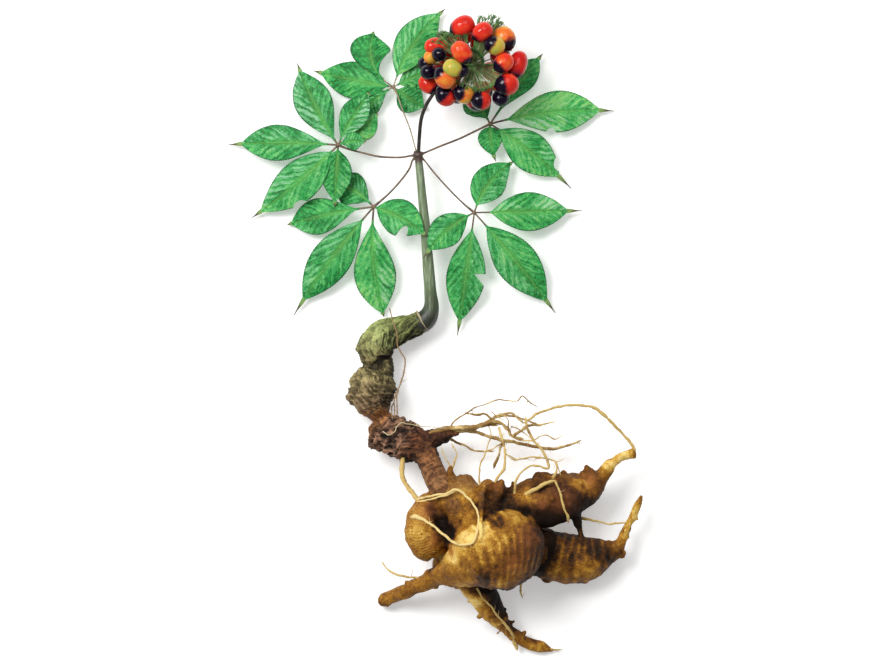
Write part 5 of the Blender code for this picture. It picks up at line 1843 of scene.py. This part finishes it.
@dataclass
class BerryHead:
    """The berries, their rays and stalk, and what is left of the flowers that set no fruit."""

    back_count: int = 15
    back_reach: float = 18.2
    back_half_sizes: tuple[float, float] = (5.4, 4.5)
    segments: int = 36
    rings: int = 24
    bare_rays: int = 130
    star_points: int = 5
    stalk_radius: float = 0.92

    def all_berries(self) -> list[Berry]:
        """List the berries seen from above, and those on the far side, spread evenly.

        Returns:
            The berries.
        """
        found = list(BERRIES)
        for i in range(self.back_count):
            down = -0.10 - 0.82 * (i + 0.5) / self.back_count
            across = math.sqrt(1 - down**2)
            out = Vector((across * math.cos(GOLDEN_ANGLE * i), across * math.sin(GOLDEN_ANGLE * i), down))
            end = (out + Vector((0.3, 0.2, 0.1))).normalized()
            ripe = 0.55 + 0.4 * ((i * GOLDEN_SHARE) % 1)
            found.append(Berry(tuple(out * self.back_reach), tuple(end), *self.back_half_sizes, ripe, 0.35))
        return found

    def berries(self) -> bpy.types.Object:
        """Model every berry: an egg with a dimple at its ray and a small point at its dark end.

        Returns:
            The finished piece.
        """
        eggs = []
        for i, berry in enumerate(self.all_berries()):
            radii = (berry.wide * 1.03, berry.wide * 0.97, berry.long)
            place = Vector(UMBEL) + Vector(berry.place)
            egg = ball(place, radii, berry.dark_end, self.segments, self.rings)
            shell = points_of(egg)
            level, across = shell[:, 2].copy(), np.hypot(shell[:, 0], shell[:, 1])
            waist = 1 + 0.03 * noise(shell * 3 + 9 * i, 2.6, 4) - 0.06 * level
            shell[:, :2] *= waist[:, None]
            shell[:, 2] += 0.09 * bell(across, 0.10) * (level > 0) + 0.10 * bell(across, 0.22) * (level < 0)
            move_points(egg, shell)
            note(egg, ripe=berry.ripe, cap=0.5 + (level - (1 - 2 * berry.cap)) * 0.9)
            eggs.append(egg)
        return dress(join(eggs, "berries"), BerrySkin().make())

    def star(self, place: np.ndarray, out: np.ndarray, size: float) -> list[np.ndarray]:
        """The dry points left round a flower that set no fruit.

        Args:
            place: Where they stand.
            out: The direction of the ray below them.
            size: How long they are.

        Returns:
            The ways that they go.
        """
        side = unit(np.cross(out, (0.3, 0.2, 1.0)))
        other = np.cross(side, out)
        ways = []
        for k in range(self.star_points):
            spread = 2 * math.pi * k / self.star_points
            lean = size * (out + 0.62 * (side * math.cos(spread) + other * math.sin(spread)))
            rows = [(*(place - 0.3 * out), 0.13), (*(place + lean * 0.6), 0.11), (*(place + lean), 0.06)]
            ways.append(smooth_route(rows, 0.5))
        return ways

    def bare(self) -> list[np.ndarray]:
        """Work out where the rays without a berry end.

        Returns:
            Their ends, from the umbel's middle.
        """
        ends = []
        draw = np.random.default_rng(3)
        for centre, spread, count in TUFTS:
            ends += list(np.array(centre) + draw.uniform(-1, 1, (count, 3)) * spread)
        for i in range(self.bare_rays):
            turn = GOLDEN_ANGLE * i
            lift = 0.25 + 1.1 * ((i * GOLDEN_SHARE) % 1)
            out = unit(np.array([math.cos(turn), math.sin(turn), lift]))
            ends.append(out * (8.0 + 7.5 * ((i * 0.382) % 1)))
        return ends

    def rays(self) -> list[bpy.types.Object]:
        """Model the stalk, a thin ray to each berry, and the bare rays with their dry stars.

        Returns:
            The finished pieces.
        """
        middle = np.array(UMBEL)
        stalk = tubes("berry_stalk", [smooth_route([(*place, self.stalk_radius) for place in PEDUNCLE], 1.0)])
        dress(stalk, StalkSkin("berry_stalk", (0.040, 0.030, 0.022), (0.010, 0.008, 0.008)).make())
        green, pale = [], []
        for i, berry in enumerate(self.all_berries()):
            out = np.array(berry.place)
            sag = np.array([0, 0, -0.9 + 0.5 * math.sin(i)])
            rows = [(*middle, 0.32), (*(middle + out * 0.5 + sag), 0.26), (*(middle + out * 0.9), 0.34)]
            green.append(smooth_route(rows, 1.5))
        for i, out in enumerate(self.bare()):
            kink = np.array([0.5 * math.sin(3 * i), 0.5 * math.cos(5 * i), -0.4])
            rows = [(*middle, 0.22), (*(middle + out * 0.5 + kink), 0.17), (*(middle + out), 0.19)]
            way = smooth_route(rows, 1.5)
            (pale if i % 3 else green).append(way)
            green.extend(self.star(middle + out, unit(out), 1.2 + 0.9 * ((i * 0.7) % 1)))
        pieces = []
        for name, ways, light, dark in (("berry_rays", green, (0.15, 0.36, 0.09), (0.055, 0.13, 0.04)),
                                        ("pale_rays", pale, (0.36, 0.50, 0.20), (0.26, 0.22, 0.10))):
            parts = [tubes(name, ways, 6)]
            if name == "berry_rays":
                parts.append(ball(UMBEL, (1.7, 1.7, 1.6)))
            fan = dress(join(parts, name), StalkSkin(name, light, dark).make())
            pieces.append(claim(fan, "berry_head"))
        return [claim(stalk, "berry_head"), *pieces]

    def build(self) -> list[bpy.types.Object]:
        """Build the pieces that stand for the berry head."""
        return [claim(self.berries(), "berry_head"), *self.rays()]


def claim(obj: bpy.types.Object, node: str) -> bpy.types.Object:
    """Say which node a piece stands for and what it rides on.

    Args:
        obj: The piece.
        node: The CAD node.

    Returns:
        The same piece.
    """
    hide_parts(node)
    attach(obj, "root")
    log.info("%s stands for %s: %d faces", obj.name, node, len(obj.data.polygons))
    return obj


# The studio.


@dataclass
class Studio:
    """The floor, the lights and the camera straight above, in metres, with the sensor in millimetres."""

    floor_size: float = 2.4
    floor_colour: Colour = (0.90, 0.90, 0.89)
    floor_glow: float = 0.32
    sky_strength: float = 0.30
    aim: Place = (0.006, -0.0025, 0.020)
    height: float = 3.0
    seen_width: float = 0.4475
    sensor: float = 36.0

    def floor(self) -> None:
        """Lay a plain pale floor."""
        bpy.ops.object.select_all(action="DESELECT")
        bpy.ops.mesh.primitive_plane_add(size=self.floor_size)
        plane = bpy.context.object
        plane.name = "floor"
        made = Recipe("floor")
        made.shader.inputs["Emission Color"].default_value = (1.0, 1.0, 1.0, 1)
        plane.data.materials.append(made.finish(self.floor_colour, 0.9, Emission_Strength=self.floor_glow))

    def light(self, name: str, place: Place, size: float, watts: float) -> None:
        """Hang a square lamp that faces the plant.

        Args:
            name: Its name.
            place: Where it hangs, in metres.
            size: The length of its side, in metres.
            watts: Its power.
        """
        bpy.ops.object.light_add(type="AREA", location=place)
        lamp = bpy.context.object
        lamp.name = name
        lamp.data.size = size
        lamp.data.energy = watts
        lamp.rotation_euler = (Vector(self.aim) - Vector(place)).to_track_quat("-Z", "Y").to_euler()

    def camera(self) -> None:
        """Set the camera straight above the plant, with its upper edge towards the leaves."""
        bpy.ops.object.camera_add(location=(self.aim[0], self.aim[1], self.height), rotation=(0, 0, 0))
        camera = bpy.context.object
        camera.data.sensor_width = self.sensor
        camera.data.lens = self.sensor * (self.height - self.aim[2]) / self.seen_width  # in millimetres
        bpy.context.scene.camera = camera

    def build(self) -> None:
        """Build the studio."""
        self.floor()
        self.light("key", (-1.00, 0.84, 1.86), 1.00, 44)
        self.light("fill", (0.50, 1.50, 2.10), 1.40, 16)
        scene = bpy.context.scene
        scene.world = scene.world or bpy.data.worlds.new("studio")
        scene.world.use_nodes = True
        sky = scene.world.node_tree.nodes["Background"]
        sky.inputs["Color"].default_value = (1.0, 1.0, 1.0, 1)
        sky.inputs["Strength"].default_value = self.sky_strength
        scene.view_settings.view_transform = "Standard"
        self.camera()


def main() -> None:
    """Build the plant piece by piece, then the studio."""
    logging.basicConfig(level=logging.INFO, format="%(message)s")
    TuberousRoot().build()
    Rhizome().build()
    spray = rootlets("root_spray", SPRAY, 0.80, RootletSkin("rootlet_spray", dark_share=0.56))
    claim(spray, "fibrous_roots")
    Stem().build()
    blade_skin = LeafSkin().make()
    brown = StalkSkin("leaf_stalk", (0.20, 0.13, 0.075), (0.085, 0.045, 0.035)).make()
    pale = StalkSkin("pale_leaf_stalk", (0.40, 0.34, 0.22), (0.20, 0.15, 0.09)).make()
    for plan in LEAVES:
        Leaf(plan, blade_skin, pale if plan.node == "leaf_upper" else brown).build()
    BerryHead().build()
    Studio().build()


if __name__ == "__main__":
    main()
